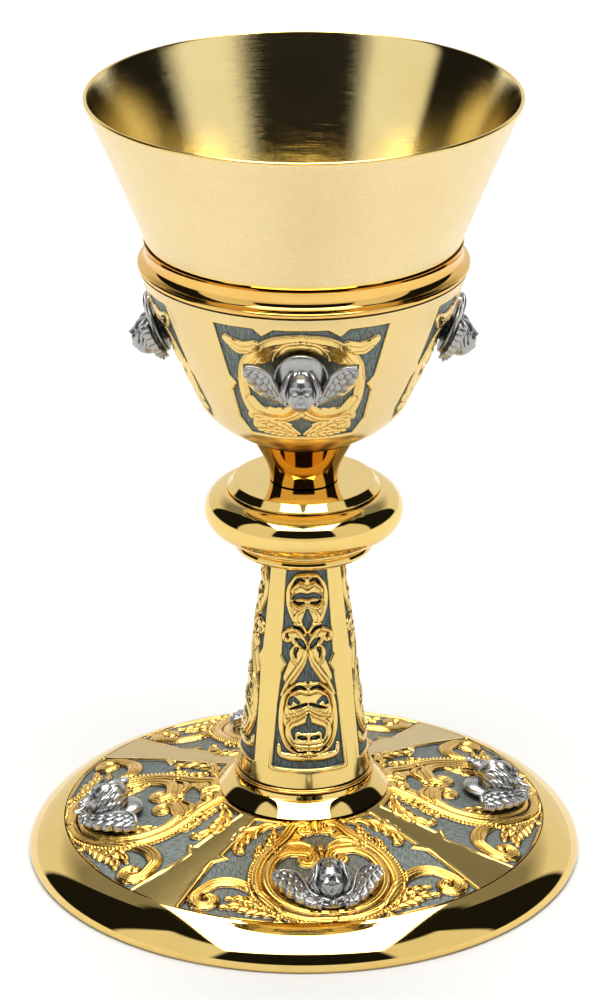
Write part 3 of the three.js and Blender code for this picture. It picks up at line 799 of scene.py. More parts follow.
def hollows(shell: Shell, rounds: int = 2) -> np.ndarray:
    """How far each point lies below its neighbours, along its normal, in step lengths.

    The sum over the edges of the neighbour's offset by the normal, over the edge lengths, smoothed.

    Args:
        shell: The surface.
        rounds: How often to average with the neighbours.

    Returns:
        A value per point, above 0 in hollows and below 0 on ridges.
    """
    points = shell.points
    normal = np.zeros_like(points)
    ends = []
    for group in shell.faces:
        rising = points[group[:, 2]] - points[group[:, 0]]
        falling = points[group[:, -1]] - points[group[:, 1]]
        across = np.cross(rising, falling)
        for k in range(group.shape[1]):
            np.add.at(normal, group[:, k], across)
            ends.append(np.stack([group[:, k], group[:, (k + 1) % group.shape[1]]], axis=1))
    normal /= np.linalg.norm(normal, axis=1, keepdims=True) + TINY
    a, b = np.concatenate(ends).T
    a, b = np.concatenate([a, b]), np.concatenate([b, a])
    step = points[b] - points[a]
    length = np.linalg.norm(step, axis=1) + 1e-9
    count = np.bincount(a, minlength=len(points)) + 1e-9
    value = np.bincount(a, np.einsum("ij,ij->i", step, normal[a]) / length, len(points)) / count
    for _ in range(rounds):
        value = 0.4 * value + 0.6 * np.bincount(a, value[b], len(points)) / count
    return value


# ------------------------------------------------------------------------------------ chased work


def spline(points: Sequence[Point2], per_step: int = 9) -> np.ndarray:
    """A smooth line through all the points: a Catmull-Rom cubic between each pair.

    Args:
        points: The points that it passes.
        per_step: Samples between two points.

    Returns:
        The samples, ending on the last point.
    """
    p = np.asarray(points, float)
    if len(p) == 2:
        return p[0] + np.linspace(0, 1, per_step)[:, None] * (p[1] - p[0])
    padded = np.concatenate([2 * p[:1] - p[1:2], p, 2 * p[-1:] - p[-2:-1]])
    t = (np.arange(per_step) / per_step)[:, None, None]
    a, b, c, d = padded[:-3], padded[1:-2], padded[2:-1], padded[3:]
    square, cube = 2 * a - 5 * b + 4 * c - d, 3 * b - a - 3 * c + d
    cubic = 0.5 * (2 * b + (c - a) * t + square * t**2 + cube * t**3)
    return np.concatenate([cubic.transpose(1, 0, 2).reshape(-1, 2), p[-1:]])


@dataclass(frozen=True)
class Stroke:
    """One chased stroke of the ornament, drawn on the right half and mirrored to the left.

    Attributes:
        through: The points that its middle line passes, in the panel's millimetres.
        width: Half widths at its start, middle and end.
        section: Its cross-section.
        curl: Length and turning in degrees of the volute that it ends in.
        height: How high its crest stands above the plain metal.
        lobes: Number of lobes of a leaf, or ribs of a fluted stroke, or the pitch of beads in mm.
        both: Whether it is mirrored.
    """

    through: tuple[Point2, ...]
    width: Widths
    section: Section
    curl: Point2
    height: float
    lobes: float
    both: bool

    def line(self) -> np.ndarray:
        """The middle line: the spline, then a volute whose heading turns ever faster."""
        path = spline(self.through)
        length, degrees = self.curl
        if length <= 0:
            return path
        aim = path[-1] - path[-2]
        count, tightening = 39, 1.35
        share = np.linspace(0, 1, count + 1)[1:]
        heading = math.atan2(aim[1], aim[0]) + math.radians(degrees) * share**tightening
        step = length / count * (1.25 - 0.5 * share)[:, None]
        tail = path[-1] + np.cumsum(np.stack([np.cos(heading), np.sin(heading)], axis=1) * step, axis=0)
        return np.concatenate([path, tail])


def stroke_maker(section: Section) -> Callable[..., Stroke]:
    """A short way to write strokes of one section: the height, the half widths, then the points."""

    def make(
        height: float,
        width: Widths,
        *through: Point2,
        curl: Point2 = (0, 0),
        lobes: float = 5,
        both: bool = True,
    ) -> Stroke:
        """One stroke."""
        return Stroke(through, width, section, curl, height, lobes, both)

    return make


cord, fluted, leaf, beads, plate, slot = map(stroke_maker, Section)


class Relief:
    """A field of chased work on a grid of panel coordinates, in millimetres.

    DEPTH is how far the ground is sunk, STEM how far below the plain metal a stroke's own edge starts,
    FILLET the height, place and width of the raised line round the panel, and CUT the depth and width of
    the fine line that sets a stroke off from what it crosses.
    """

    DEPTH = 0.5
    STEM = 0.32
    FILLET = (0.16, 0.45, 0.28)
    CUT = (0.26, 0.2)

    def __init__(self, x: np.ndarray, y: np.ndarray, outline: Sequence[Point2]) -> None:
        """Sinks the panel's ground.

        The ground lies DEPTH below the plain metal inside the outline, with a raised fillet round it.

        Args:
            x: Sideways coordinate of each grid point.
            y: Upward or outward coordinate of each grid point.
            outline: The right half of the panel's outline, from the top of the axis to its bottom.
        """
        self.x, self.y = x, y
        border = self._outline_distance(outline)
        self.edge = -border
        fall = np.clip(0.5 + border / 0.36, 0, 1)
        high, place, wide = self.FILLET
        fillet = high * np.exp(-(((border + place) / wide) ** 2))
        self.height = -self.DEPTH * fall + fillet
        self.plain = np.clip(0.5 - (border + 0.7) / 0.3, 0, 1)

    def _outline_distance(self, outline: Sequence[Point2]) -> np.ndarray:
        """Distance to the outline, above 0 inside it: the nearest side, signed by crossings of a ray."""
        right = np.asarray(outline, float)
        left = right[::-1] * (-1, 1)
        ring = np.concatenate([right, left])
        flat = np.stack([self.x.ravel(), self.y.ravel()], axis=1)
        best = np.full(len(flat), np.inf)
        inside = np.zeros(len(flat), bool)
        for a, b in zip(ring, np.roll(ring, -1, axis=0)):
            side = b - a
            size = float(side @ side)
            if size < TINY:
                continue
            share = np.clip(((flat - a) @ side) / size, 0, 1)
            best = np.minimum(best, np.hypot(*(flat - a - share[:, None] * side).T))
            crosses = (a[1] > flat[:, 1]) != (b[1] > flat[:, 1])
            rise = side[1] if abs(side[1]) > TINY else TINY
            inside ^= crosses & (flat[:, 0] < side[0] * (flat[:, 1] - a[1]) / rise + a[0])
        return np.where(inside, best, -best).reshape(self.x.shape)

    def chase(self, strokes: Sequence[Stroke]) -> None:
        """Lays the strokes one over another."""
        for stroke in strokes:
            line = stroke.line()
            self._lay(stroke, line)
            if stroke.both:
                self._lay(stroke, line * (-1, 1))

    def _lay(self, stroke: Stroke, line: np.ndarray) -> None:
        """Raises the ground to the stroke's section and cuts a fine line round it in what lies below.

        Each grid point is measured to the nearest step of the line: q is its signed distance over the half
        width there, and t its share of the way. The crest is a round or fluted arch of q, a leaf's arch cut
        by slanting flutes of t and q, a row of domes along the way, or a flat plate with rounded edges.
        A slot is the reverse: it sinks to the stroke's height and shows the ground.

        Args:
            stroke: The stroke.
            line: Its middle line.
        """
        reach = max(stroke.width) + 0.8
        low, high = line.min(0) - reach, line.max(0) + reach
        spots = np.flatnonzero(
            ((self.x > low[0]) & (self.x < high[0]) & (self.y > low[1]) & (self.y < high[1])).ravel()
        )
        if not len(spots):
            return
        px, py = self.x.ravel()[spots], self.y.ravel()[spots]
        step = np.diff(line, axis=0)
        size = np.hypot(*step.T) + 1e-9
        way = np.concatenate([[0], np.cumsum(size)])
        best = np.full(len(spots), np.inf)
        run = np.zeros(len(spots))
        side = np.zeros(len(spots))
        for k in range(len(step)):
            dx, dy = px - line[k, 0], py - line[k, 1]
            share = np.clip((dx * step[k, 0] + dy * step[k, 1]) / size[k] ** 2, 0, 1)
            ex, ey = dx - share * step[k, 0], dy - share * step[k, 1]
            gap = ex * ex + ey * ey
            nearer = gap < best
            best = np.where(nearer, gap, best)
            run = np.where(nearer, way[k] + share * size[k], run)
            side = np.where(nearer, np.sign(step[k, 0] * dy - step[k, 1] * dx), side)
        away = np.sqrt(best)
        t = run / way[-1]
        half = np.interp(t, [0, 0.5, 1], stroke.width)
        q = away / half
        lobe = np.ones_like(q)
        if stroke.section is Section.ROUND:
            crest = np.sqrt(np.clip(1 - q**2, 0, 1))
        elif stroke.section is Section.FLUTED:
            ribs = 0.5 + 0.5 * np.cos(np.pi * stroke.lobes * np.clip(q, 0, 1) * side)
            crest = np.clip(1 - q**4, 0, 1) ** 0.5 * (0.74 + 0.26 * ribs)
        elif stroke.section is Section.LEAF:
            wave = np.abs(np.sin(np.pi * (stroke.lobes * t - 0.75 * np.clip(q, 0, 1.2))))
            lobe = 0.66 + 0.34 * wave**0.7
            vein = np.exp(-((q / 0.13) ** 2))
            arch = np.clip(1 - (q / lobe) ** 3, 0, 1) ** 0.5
            crest = arch * (0.45 + 0.55 * wave**0.8) * (1 - 0.45 * vein)
        elif stroke.section is Section.BEADS:
            beat = np.abs(np.cos(np.pi * run / stroke.lobes))
            crest = np.sqrt(np.clip(1 - q**2, 0, 1)) * beat**0.6
            lobe = 0.55 + 0.45 * beat
        else:
            crest = np.sqrt(np.clip((1 - q) * half / 0.45, 0, 1))
        inside = (lobe - q) * half
        height = self.height.ravel()
        edge = self.edge.ravel()
        if stroke.section is Section.SLOT:
            sunk = np.clip(0.5 + inside / 0.3, 0, 1)
            floor = np.minimum(height[spots], stroke.height)
            height[spots] = height[spots] + (floor - height[spots]) * sunk
            edge[spots] = np.minimum(edge[spots], -inside)
            self.height, self.edge = height.reshape(self.x.shape), edge.reshape(self.x.shape)
            return
        raised = -self.STEM + (stroke.height + self.STEM) * crest
        was = height[spots]
        deep, wide = self.CUT
        cut = deep * np.exp(-((inside / wide) ** 2)) * (edge[spots] > 0) * np.clip(was + self.DEPTH, 0, 1)
        height[spots] = np.where(inside > 0, np.maximum(raised, was - cut), was - cut)
        edge[spots] = np.maximum(edge[spots], inside)
        plain = self.plain.ravel()
        plain[spots] = np.where(inside > -0.25, 0, plain[spots])
        self.height, self.edge = height.reshape(self.x.shape), edge.reshape(self.x.shape)
        self.plain = plain.reshape(self.x.shape)

    def tags(self) -> dict[str, np.ndarray]:
        """The values that the finish reads.

        The hollow value is the height averaged over a square of neighbours, less the height itself.

        Returns:
            The edge, hollow and plain values, and the panel coordinates as "plan".
        """
        wide = 3
        mean = self.height
        for axis in (0, 1):
            pad = [(wide, wide) if a == axis else (0, 0) for a in (0, 1)]
            total = np.cumsum(np.pad(mean, pad, mode="edge"), axis=axis)
            first = np.zeros_like(np.take(total, [0], axis=axis))
            total = np.concatenate([first, total], axis=axis)
            size = mean.shape[axis]
            upper = np.take(total, np.arange(size) + 2 * wide + 1, axis=axis)
            mean = (upper - np.take(total, np.arange(size), axis=axis)) / (2 * wide + 1)
        plan = np.stack([self.x, self.y, np.zeros_like(self.x)], axis=-1)
        # The hollow value darkens the creases in the parcel gilt finishes as painted shade.
        return {"edge": self.edge, "hollow": mean - self.height, "plain": self.plain, "plan": plan}


@dataclass
class ReliefWall:
    """A turned wall in four quarters, each with one chased panel.

    Attributes:
        name: First part of the pieces' names.
        node: The CAD node that the quarters replace.
        turn: Azimuth of the first panel in degrees.
        half: Half angle of the zone with fine columns.
        columns: Columns in that zone.
        profile: Radius and height of each row, from the bottom or outer edge upwards.
        wall: Thickness.
        flat: Whether the panel is drawn in plan, with y outwards, and not round the wall with y up.
        outline: Right half of the panel's outline.
        strokes: The ornament.
        finish: The finish of the work.
    """

    name: str
    node: str
    turn: float
    half: float
    columns: int
    profile: np.ndarray
    wall: float
    flat: bool
    outline: Sequence[Point2]
    strokes: Sequence[Stroke]
    finish: ParcelGilding

    def relief(self, around: np.ndarray) -> Relief:
        """The chased field over the grid of azimuth and row."""
        radius, height = self.profile.T
        if self.flat:
            x, y = radius * np.sin(around)[:, None], radius * np.cos(around)[:, None]
        else:
            x = radius * around[:, None]
            y = np.broadcast_to(height, x.shape)
        work = Relief(x, y, self.outline)
        work.chase(self.strokes)
        return work

    def build(self) -> None:
        """Makes the quarters: each row's point moved along the wall's normal by the relief's height.

        The azimuth columns are fine over the panel and coarse between panels. The profile's normal is its
        direction turned a quarter clockwise.
        """
        side = np.linspace(self.half, QUARTER / 2, 8)[1:]
        middle = np.linspace(-self.half, self.half, self.columns)
        around = np.radians(np.concatenate([-side[::-1], middle, side]))
        work = self.relief(around)
        tags = work.tags()
        along = headings(self.profile)
        normal = np.stack([along[:, 1], -along[:, 0]], axis=1)
        seam = math.radians(QUARTER / 2 - 0.5)
        height = np.where(np.abs(around)[:, None] > seam, 0, work.height)
        radius = self.profile[:, 0] + height * normal[:, 0]
        level = self.profile[:, 1] + height * normal[:, 1]
        keep = np.unique(np.linspace(0, len(self.profile) - 1, 9).astype(int))
        back = self.profile[keep] - self.wall * normal[keep]
        kept = 0 if self.flat else 1
        back[[0, -1], kept] = self.profile[[0, -1], kept]
        for k in range(QUARTERS):
            azimuth = around + math.radians(self.turn + QUARTER * k)
            sin, cos = np.sin(azimuth)[:, None], np.cos(azimuth)[:, None]
            outer = np.stack([radius * sin, -radius * cos, level], axis=-1)
            inner_level = np.broadcast_to(back[:, 1], (len(azimuth), len(back)))
            inner = np.stack([back[:, 0] * sin, -back[:, 0] * cos, inner_level], axis=-1)
            shell = sector(outer, inner, tags)
            name = f"{self.name}_{k + 1}"
            put_piece(name, shell, [self.finish], Body.STAND, [self.node])


# ------------------------------------------------------------------------------------ sub-assemblies


@dataclass
class Cup:
    """The plain cup: a straight flaring cone with a rounded bottom, brushed inside and satin outside."""

    bottom: float = 130.1
    base_radius: float = 12.0
    turn_height: float = 12.0
    seat_height: float = 158.8
    seat_radius: float = 36.4
    rim_height: float = 199.9
    rim_radius: float = 53.1
    waist: float = 0.4
    satin_from: float = 163.8
    wall: float = 1.0
    lip: float = 1.56 * 0.45
    segments: int = 260

    def radius(self, height: np.ndarray) -> np.ndarray:
        """Outer radius: the cone, drawn in a little between the seat and the rim by a half sine."""
        share = (height - self.seat_height) / (self.rim_height - self.seat_height)
        cone = self.seat_radius + (self.rim_radius - self.seat_radius) * share
        return cone - self.waist * np.sin(np.pi * np.clip(share, 0, 1))

    def build(self) -> None:
        """Turns the cup from its outline: bottom, cone, rounded rim, and back down inside."""
        knee = self.bottom + self.turn_height
        corner = float(self.radius(np.array(self.bottom)))
        knee_radius = float(self.radius(np.array(knee)))
        bowl = bezier([(self.base_radius, self.bottom), (corner, self.bottom), (knee_radius, knee)], 22)
        levels = np.linspace(knee, self.rim_height - self.lip, 46)[1:]
        outside = np.concatenate([bowl, np.stack([self.radius(levels), levels], axis=1)])
        inside = offset_inward(outside, self.wall)
        inside[0] = (self.base_radius, self.bottom + self.wall)
        middle = (outside[-1] + inside[-1]) / 2
        bend = np.radians(np.linspace(0, 180, 11))[1:-1, None]
        half = (outside[-1] - inside[-1]) / 2
        up = np.array([-half[1], half[0]])
        edge = middle + np.cos(bend) * half + np.sin(bend) * up
        floor = [[r, self.bottom] for r in np.linspace(0, self.base_radius, 5)[:-1]]
        inner_floor = [[r, self.bottom + self.wall] for r in np.linspace(self.base_radius, 0, 5)[1:]]
        outline = np.concatenate([floor, outside, edge, inside[::-1], inner_floor])
        first = len(floor) + len(outside)
        second = first + len(edge)
        zones = np.zeros(len(outline), int)
        zones[(outline[:, 1] >= self.satin_from) & (np.arange(len(outline)) < first)] = 1
        zones[first - 1 : second] = 0
        zones[second:] = 2
        shell = lathe(outline, self.segments, zones)
        put_piece("cup_bowl", shell, [POLISHED, SATIN, BRUSHED], Body.CUP, ["cup"])


@dataclass
class CalyxLip:
    """The ring that the cup stands in: a small outer bead below a deep hollow that flares up to the cup."""

    base: float = 157.2
    bore: float = 36.8
    bead_radius: float = 0.75
    radius: float = 40.4
    throat: tuple[float, float] = (38.0, 160.6)
    top: tuple[float, float] = (38.8, 163.65)
    edge: float = 0.28

    def build(self) -> None:
        """Turns the ring: the bead's arc, a cubic hollow that turns at the throat, and the bore."""
        middle, level = self.radius - self.bead_radius, self.base + self.bead_radius
        bead = arc(middle, level, self.bead_radius, -90, 72, 18)
        r, z = self.throat
        controls = [tuple(bead[-1]), (r - 0.1, bead[-1, 1] + 0.55), (r - 0.45, z + 0.9), self.top]
        hollow = bezier(controls, 32)[1:]
        inside = self.top[0] - self.edge
        corners = [(inside, self.top[1]), (r - 0.75, z - 0.4), (self.bore, 158.8), (self.bore, self.base)]
        edge = subdivided(np.array(corners), 1.0, False)
        ring = lathe(np.concatenate([bead, hollow, edge]), 260)
        put_piece("calyx_lip_ring", ring, [WARM], Body.STAND, ["calyx_lip"], 60)


Parts = dict[str, tuple[np.ndarray, str, Gilding]]


def turn_parts(parts: Parts, segments: int) -> None:
    """Turns each named outline into a piece of the stand.

    Args:
        parts: The outline, the CAD node that it replaces and the finish of each piece.
        segments: Steps round the axis.
    """
    for name, (outline, node, finish) in parts.items():
        put_piece(name, lathe(outline, segments), [finish], Body.STAND, [node], 50)


@dataclass
class NeckAndKnop:
    """The waisted neck and the knop: a fat ring between two plates."""

    segments: int = 220

    def neck(self) -> np.ndarray:
        """The neck's outline: straight up from its waist and flaring to the bowl."""
        flare = bezier([(8.4, 101.3), (8.4, 105.7), (11.25, 109.7), (14.1, 113.3)], 30)
        inside = offset_inward(flare, 1.4)
        inside[0, 1], inside[-1, 1] = 101.3, 113.3
        return np.concatenate([flare, inside[::-1]])

    def top_plate(self) -> np.ndarray:
        """The flat plate on top, its edge bevelled and rolled over."""
        corners = [
            (4.2, 98.6, 0), (18.2, 98.6, 0.3), (18.9, 98.9, 0.2), (18.9, 99.25, 0.3), (17.4, 101.0, 0.25),
            (4.2, 101.0, 0),
        ]
        return subdivided(rounded(corners), 1.6)

    def ring(self) -> np.ndarray:
        """The fat ring: a circular section cut flat below and opened above for the plate."""
        bulge = arc(19.3, 93.2, 5.4, -95, 105, 56)
        return np.concatenate([[(12.0, 87.1), (16.6, 87.1)], bulge, [(17.3, 98.3), (12.0, 98.3)]])

    def lower_plate(self) -> np.ndarray:
        """The plate below, with a roll, a fine groove and an upper band."""
        corners = [
            (4.2, 83.2, 0), (16.9, 83.2, 0.5), (17.4, 84.1, 0.6), (17.0, 85.0, 0.4), (16.5, 85.2, 0.15),
            (16.5, 85.5, 0.15), (17.3, 85.7, 0.3), (17.5, 86.2, 0.3), (17.3, 86.8, 0.2), (4.2, 86.8, 0),
        ]
        return subdivided(rounded(corners), 1.6)

    def build(self) -> None:
        """Turns the four parts."""
        parts: Parts = {
            "neck_flare": (self.neck(), "neck", WARM),
            "knop_plate_top": (self.top_plate(), "knop_top_plate", POLISHED),
            "knop_fat_ring": (self.ring(), "knop_ring", POLISHED),
            "knop_plate_low": (self.lower_plate(), "knop_lower_plate", POLISHED),
        }
        turn_parts(parts, self.segments)


@dataclass
class Mouldings:
    """The turned rings below the stem and the rolled border of the foot."""

    segments: int = 260

    def bead(self) -> np.ndarray:
        """The bead between the stem and the collar: two fine rolls."""
        upper = arc(17.1, 23.1, 0.3, -60, 90, 9)
        lower = arc(17.25, 22.65, 0.35, -90, 60, 9)
        return np.concatenate([lower, upper, [(14.0, 23.4), (14.0, 22.3)]])

    def collar(self) -> np.ndarray:
        """The collar: a skirt that falls at 45 degrees from its rounded shoulder to the foot."""
        skirt = bezier([(21.4, 17.3), (19.9, 18.95), (18.5, 20.5), (17.7, 20.75)], 26)
        return np.concatenate([[(14.0, 17.1), (21.1, 17.1)], skirt, [(17.55, 22.0), (14.0, 22.0)]])

    def border(self) -> np.ndarray:
        """The foot's border: an eased roll from the dome to the table edge, hollow beneath."""
        low, round_edge, wall = 1.4, 0.9, 1.5
        edge = arc(69.0, low, round_edge, -90, -12, 9)
        edge[:, 1] = low + (edge[:, 1] - low) * low / round_edge
        roll = bezier([(69.9, low), (69.9, 3.78), (65.5, 9.0 - 4.5 * DOME_SLOPE), (61.0, 9.0)], 48)
        under = offset_inward(roll, wall)
        under = under[under[:, 0] < 66.8]
        under[-1] = (61.0, 7.5)
        return np.concatenate([edge, roll, under[::-1], [(66.9, 0.4), (67.1, 0.0)]])

    def build(self) -> None:
        """Turns the three rings."""
        step = 2.0
        parts: Parts = {
            "stem_bead_roll": (subdivided(self.bead(), step), "stem_bead", WARM),
            "foot_collar_ring": (subdivided(self.collar(), step), "foot_collar", POLISHED),
            "foot_border_roll": (subdivided(self.border(), step), "foot_border", POLISHED),
        }
        turn_parts(parts, self.segments)


@dataclass
class Bowl:
    """The calyx that holds the cup, with a rolled base and four trapezoid panels."""

    turn: float = -1.0

    OUTLINE = (
        (0, 153.7), (6.6, 153.7), (9.4, 151.6), (11.6, 153.7), (22.2, 153.7), (18.3, 138.6), (16.3, 136.4),
        (17.4, 134.2), (15.7, 125.6), (12.6, 121.5), (0, 121.5),
    )
    STROKES = (
        plate(0.0, (1.8, 2.9, 1.7), (12.4, 143.4), (11.2, 138.2), (8.8, 134.6)),
        plate(0.04, (2.2, 2.3, 2.0), (0, 149.4), (5.4, 148.6), (10.0, 145.4)),
        plate(0.0, (1.2, 2.5, 1.5), (1.0, 123.0), (6.0, 124.4), (10.8, 124.4)),
        plate(0.05, (1.4, 1.9, 2.4), (12.2, 127.2), (7.6, 128.6), (3.0, 128.4), (0, 130.4)),
        leaf(0.2, (0.6, 1.9, 0.5), (13.3, 144.2), (12.2, 140.0), (10.4, 136.8), (8.0, 134.8), lobes=3),
        leaf(0.18, (0.4, 1.2, 0.4), (10.2, 141.6), (8.8, 137.8), (6.8, 135.4), lobes=3),
        fluted(0.2, (1.3, 1.5, 1.0), (0, 151.0), (6.2, 149.9), (10.8, 146.8), (13.7, 142.3), (14.4, 137.4),
            (13.7, 132.2), (11.6, 127.4), (9.6, 124.0), lobes=2),
        beads(0.26, (0.32, 0.36, 0.3), (0, 152.35), (6.6, 151.35), (11.6, 148.1), (14.9, 143.4),
            (15.6, 138.0), lobes=0.6),
        cord(0.3, (0.3, 0.38, 0.25), (0, 150.5), (3.6, 149.7), (5.8, 147.5), (6.8, 144.8)),
        plate(0.14, (1.6, 1.8, 1.0), (11.4, 148.6), (14.4, 147.7), (17.2, 148.7), (18.9, 149.9)),
        cord(0.24, (0.3, 0.5, 0.3), (11.8, 149.2), (14.6, 148.6), (17.0, 149.6)),
        cord(0.24, (0.3, 0.5, 0.3), (12.8, 146.6), (15.4, 146.4), (17.6, 147.8)),
        fluted(0.3, (1.0, 1.3, 0.9), (12.6, 132.4), (10.2, 129.6), (6.8, 128.7), (3.6, 129.3),
            (1.7, 131.5), curl=(5.6, -265), lobes=2),
        cord(0.26, (0.4, 0.9, 0.6), (0, 133.4), (0, 128.2), both=False),
        cord(0.22, (0.4, 0.6, 0.4), (11.4, 127.4), (7.6, 126.9), (3.6, 127.4), (0.9, 129.2)),
        leaf(0.28, (0.6, 1.9, 0.5), (2.2, 122.9), (5.4, 124.6), (8.4, 125.9), (11.6, 126.0)),
        leaf(0.28, (0.5, 1.2, 0.4), (1.6, 121.9), (5.6, 122.6), (10.6, 122.9)),
        slot(-0.5, (0.5, 1.35, 0.3), (4.6, 134.2), (6.4, 131.5), (9.4, 133.6)),
        slot(-0.5, (0.1, 2.6, 0.1), (0, 127.4), (0, 124.8), (0, 122.2), both=False),
    )

    def profile(self) -> np.ndarray:
        """Rows of the wall: a rolled base, the wall's slight belly, and the plain band below the mouth."""
        shoulder, mouth = np.array([24.74, 121.6]), np.array([40.0, 156.9])
        swell, reach = 1, 4.4
        belly = (float(shoulder[0] + mouth[0]) / 2 + swell, float(shoulder[1] + mouth[1]) / 2 - swell)
        way = np.subtract(belly, shoulder)
        lean = shoulder - reach * way / np.hypot(*way)
        base = bezier([(14.1, 113.6), (16.7, 114.5), tuple(lean), tuple(shoulder)], 200)
        wall = bezier([tuple(shoulder), belly, tuple(mouth)], 400)
        fine = np.concatenate([base[:-1], wall])
        run = run_along(fine)
        start, stop = np.interp([121.0, 154.0], fine[:, 1], run)
        below, above = np.linspace(0, start, 30)[:-1], np.linspace(stop, run[-1], 9)[1:]
        rows = np.concatenate([below, np.linspace(start, stop, 180), above])
        return np.stack([np.interp(rows, run, fine[:, 0]), np.interp(rows, run, fine[:, 1])], axis=1)

    def build(self) -> None:
        """Makes the quarters."""
        ReliefWall(
            name="calyx_quarter", node="calyx", turn=self.turn, half=38.0, columns=244,
            profile=self.profile(), wall=1.4, flat=False, outline=self.OUTLINE, strokes=self.STROKES,
            finish=BOWL_WORK,
        ).build()


@dataclass
class Stem:
    """The tapering stem with four tall panels of scrolls."""

    turn: float = 4.7
    base: float = 23.7
    length: float = 59.2
    low_radius: float = 16.8
    high_radius: float = 9.65

    OUTLINE = (
        (0, 80.2), (5.4, 80.2), (6.3, 68.0), (6.9, 58.2), (5.5, 55.8), (7.0, 53.2), (8.2, 45.0),
        (9.9, 28.7), (0, 28.7),
    )
    STROKES = (
        plate(0.06, (3.5, 5.1, 1.5), (0, 75.4), (0, 70.2), (0, 65.2), both=False),
        plate(0.05, (1.6, 1.9, 1.8), (1.2, 60.6), (3.3, 63.6)),
        plate(0.05, (1.5, 2.1, 1.7), (0.9, 60.6), (2.6, 56.6), (4.8, 52.2)),
        plate(0.06, (5.2, 7.5, 5.3), (0, 46.4), (0, 42.0), (0, 37.8), both=False),
        plate(0.2, (0.95, 0.95, 0.5), (0, 31.9), (4.2, 31.8), (7.4, 32.2), (7.9, 34.4)),
        cord(0.34, (0.5, 0.65, 0.5), (0, 79.0), (2.8, 78.3), (4.6, 75.4), (4.8, 71.6), (3.7, 68.0),
            (2.1, 65.2), (0.5, 61.6)),
        cord(0.3, (0.4, 0.5, 0.3), (0, 75.8), (1.7, 76.6), (3.2, 75.6), curl=(2.4, -170)),
        cord(0.26, (0.4, 0.5, 0.3), (0.3, 70.5), (2.1, 69.6), (3.0, 67.2), (0.6, 63.6)),
        cord(0.3, (0.4, 0.6, 0.3), (0.2, 71.2), (2.2, 70.4), (4.0, 71.6)),
        cord(0.34, (0.5, 0.6, 0.5), (0.4, 59.8), (1.0, 62.4), (2.8, 64.9), (4.6, 64.6), curl=(5.4, -250)),
        cord(0.3, (0.3, 0.55, 0.3), (0.3, 64.2), (1.4, 66.0), (3.4, 66.4)),
        cord(0.26, (0.3, 0.55, 0.3), (1.9, 60.8), (3.6, 60.4), (4.2, 58.2), (2.9, 55.8)),
        cord(0.32, (0.5, 0.7, 0.5), (0.4, 60.6), (1.2, 57.4), (3.2, 54.2), (5.2, 51.2), (6.8, 47.6)),
        cord(0.36, (0.5, 0.7, 0.6), (0, 51.0), (3.4, 50.3), (6.2, 47.4), (7.1, 42.6), (6.9, 37.8),
            (4.9, 34.0), (0.3, 32.7)),
        cord(0.3, (0.4, 0.6, 0.5), (0.2, 48.6), (2.4, 49.0), (4.6, 47.4), (5.5, 44.4), curl=(5.2, -235)),
        cord(0.28, (0.4, 0.6, 0.5), (0.3, 43.4), (2.4, 42.2), (4.9, 40.6), (5.4, 37.4), (3.6, 34.9),
            (0.4, 34.5)),
        cord(0.26, (0.3, 0.5, 0.3), (0.2, 44.4), (2.4, 43.2), (5.4, 42.2)),
        slot(-0.8, (0.3, 0.5, 0.2), (0.8, 77.5), (2.1, 77.7), (3.2, 76.6)),
        slot(-0.5, (0.7, 0.75, 0.5), (0, 73.4), (1.6, 73.7), (3.5, 73.0)),
        slot(-0.8, (0.25, 0.5, 0.3), (0.9, 71.8), (2.2, 71.6), (3.4, 72.0)),
        slot(-0.5, (0.5, 1.5, 0.1), (0, 69.8), (0, 67.9), (0, 64.6), both=False),
        slot(-0.8, (0.2, 0.5, 0.2), (0.9, 64.0), (2.0, 65.2), (3.6, 65.4)),
        slot(-0.8, (0.5, 0.8, 0.4), (0.9, 60.4), (1.7, 61.6), (2.9, 62.4)),
        slot(-0.8, (0.2, 0.35, 0.2), (2.5, 60.0), (3.2, 58.8), (3.0, 57.6)),
        slot(-0.5, (0.1, 1.7, 0.1), (0, 55.6), (0, 53.2), (0, 50.9), both=False),
        slot(-0.8, (0.3, 0.55, 0.2), (0.7, 49.6), (2.4, 50.1), (4.2, 49.0)),
        slot(-0.5, (0.5, 0.75, 0.5), (2.6, 46.0), (4.0, 46.9), (4.9, 45.6)),
        slot(-0.8, (0.4, 0.45, 0.2), (0.5, 45.6), (1.8, 45.2), (4.6, 44.2)),
        slot(-0.5, (0.2, 0.7, 1.2), (0, 43.2), (0, 40.6), (1.6, 39.2)),
        slot(-0.5, (0.9, 0.8, 0.3), (0.6, 38.9), (2.4, 39.2), (3.9, 38.4), (3.7, 36.6)),
        slot(-0.8, (0.5, 0.65, 0.5), (0.9, 36.7), (2.4, 36.9)),
        slot(-0.8, (0.2, 0.32, 0.2), (0.7, 33.2), (2.6, 33.1), (4.6, 34.2)),
    )

    def profile(self) -> np.ndarray:
        """Rows of the straight taper, finer over the panels."""
        low, high, end = 28.4, 80.5, 82.9
        below, above = np.linspace(self.base, low, 12)[:-1], np.linspace(high, end, 8)[1:]
        rows = np.concatenate([below, np.linspace(low, high, 292), above])
        share = (rows - self.base) / self.length
        return np.stack([self.low_radius + (self.high_radius - self.low_radius) * share, rows], axis=1)

    def build(self) -> None:
        """Makes the quarters."""
        ReliefWall(
            name="stem_quarter", node="stem", turn=self.turn, half=38.0, columns=136,
            profile=self.profile(), wall=1.5, flat=False, outline=self.OUTLINE, strokes=self.STROKES,
            finish=STEM_WORK,
        ).build()


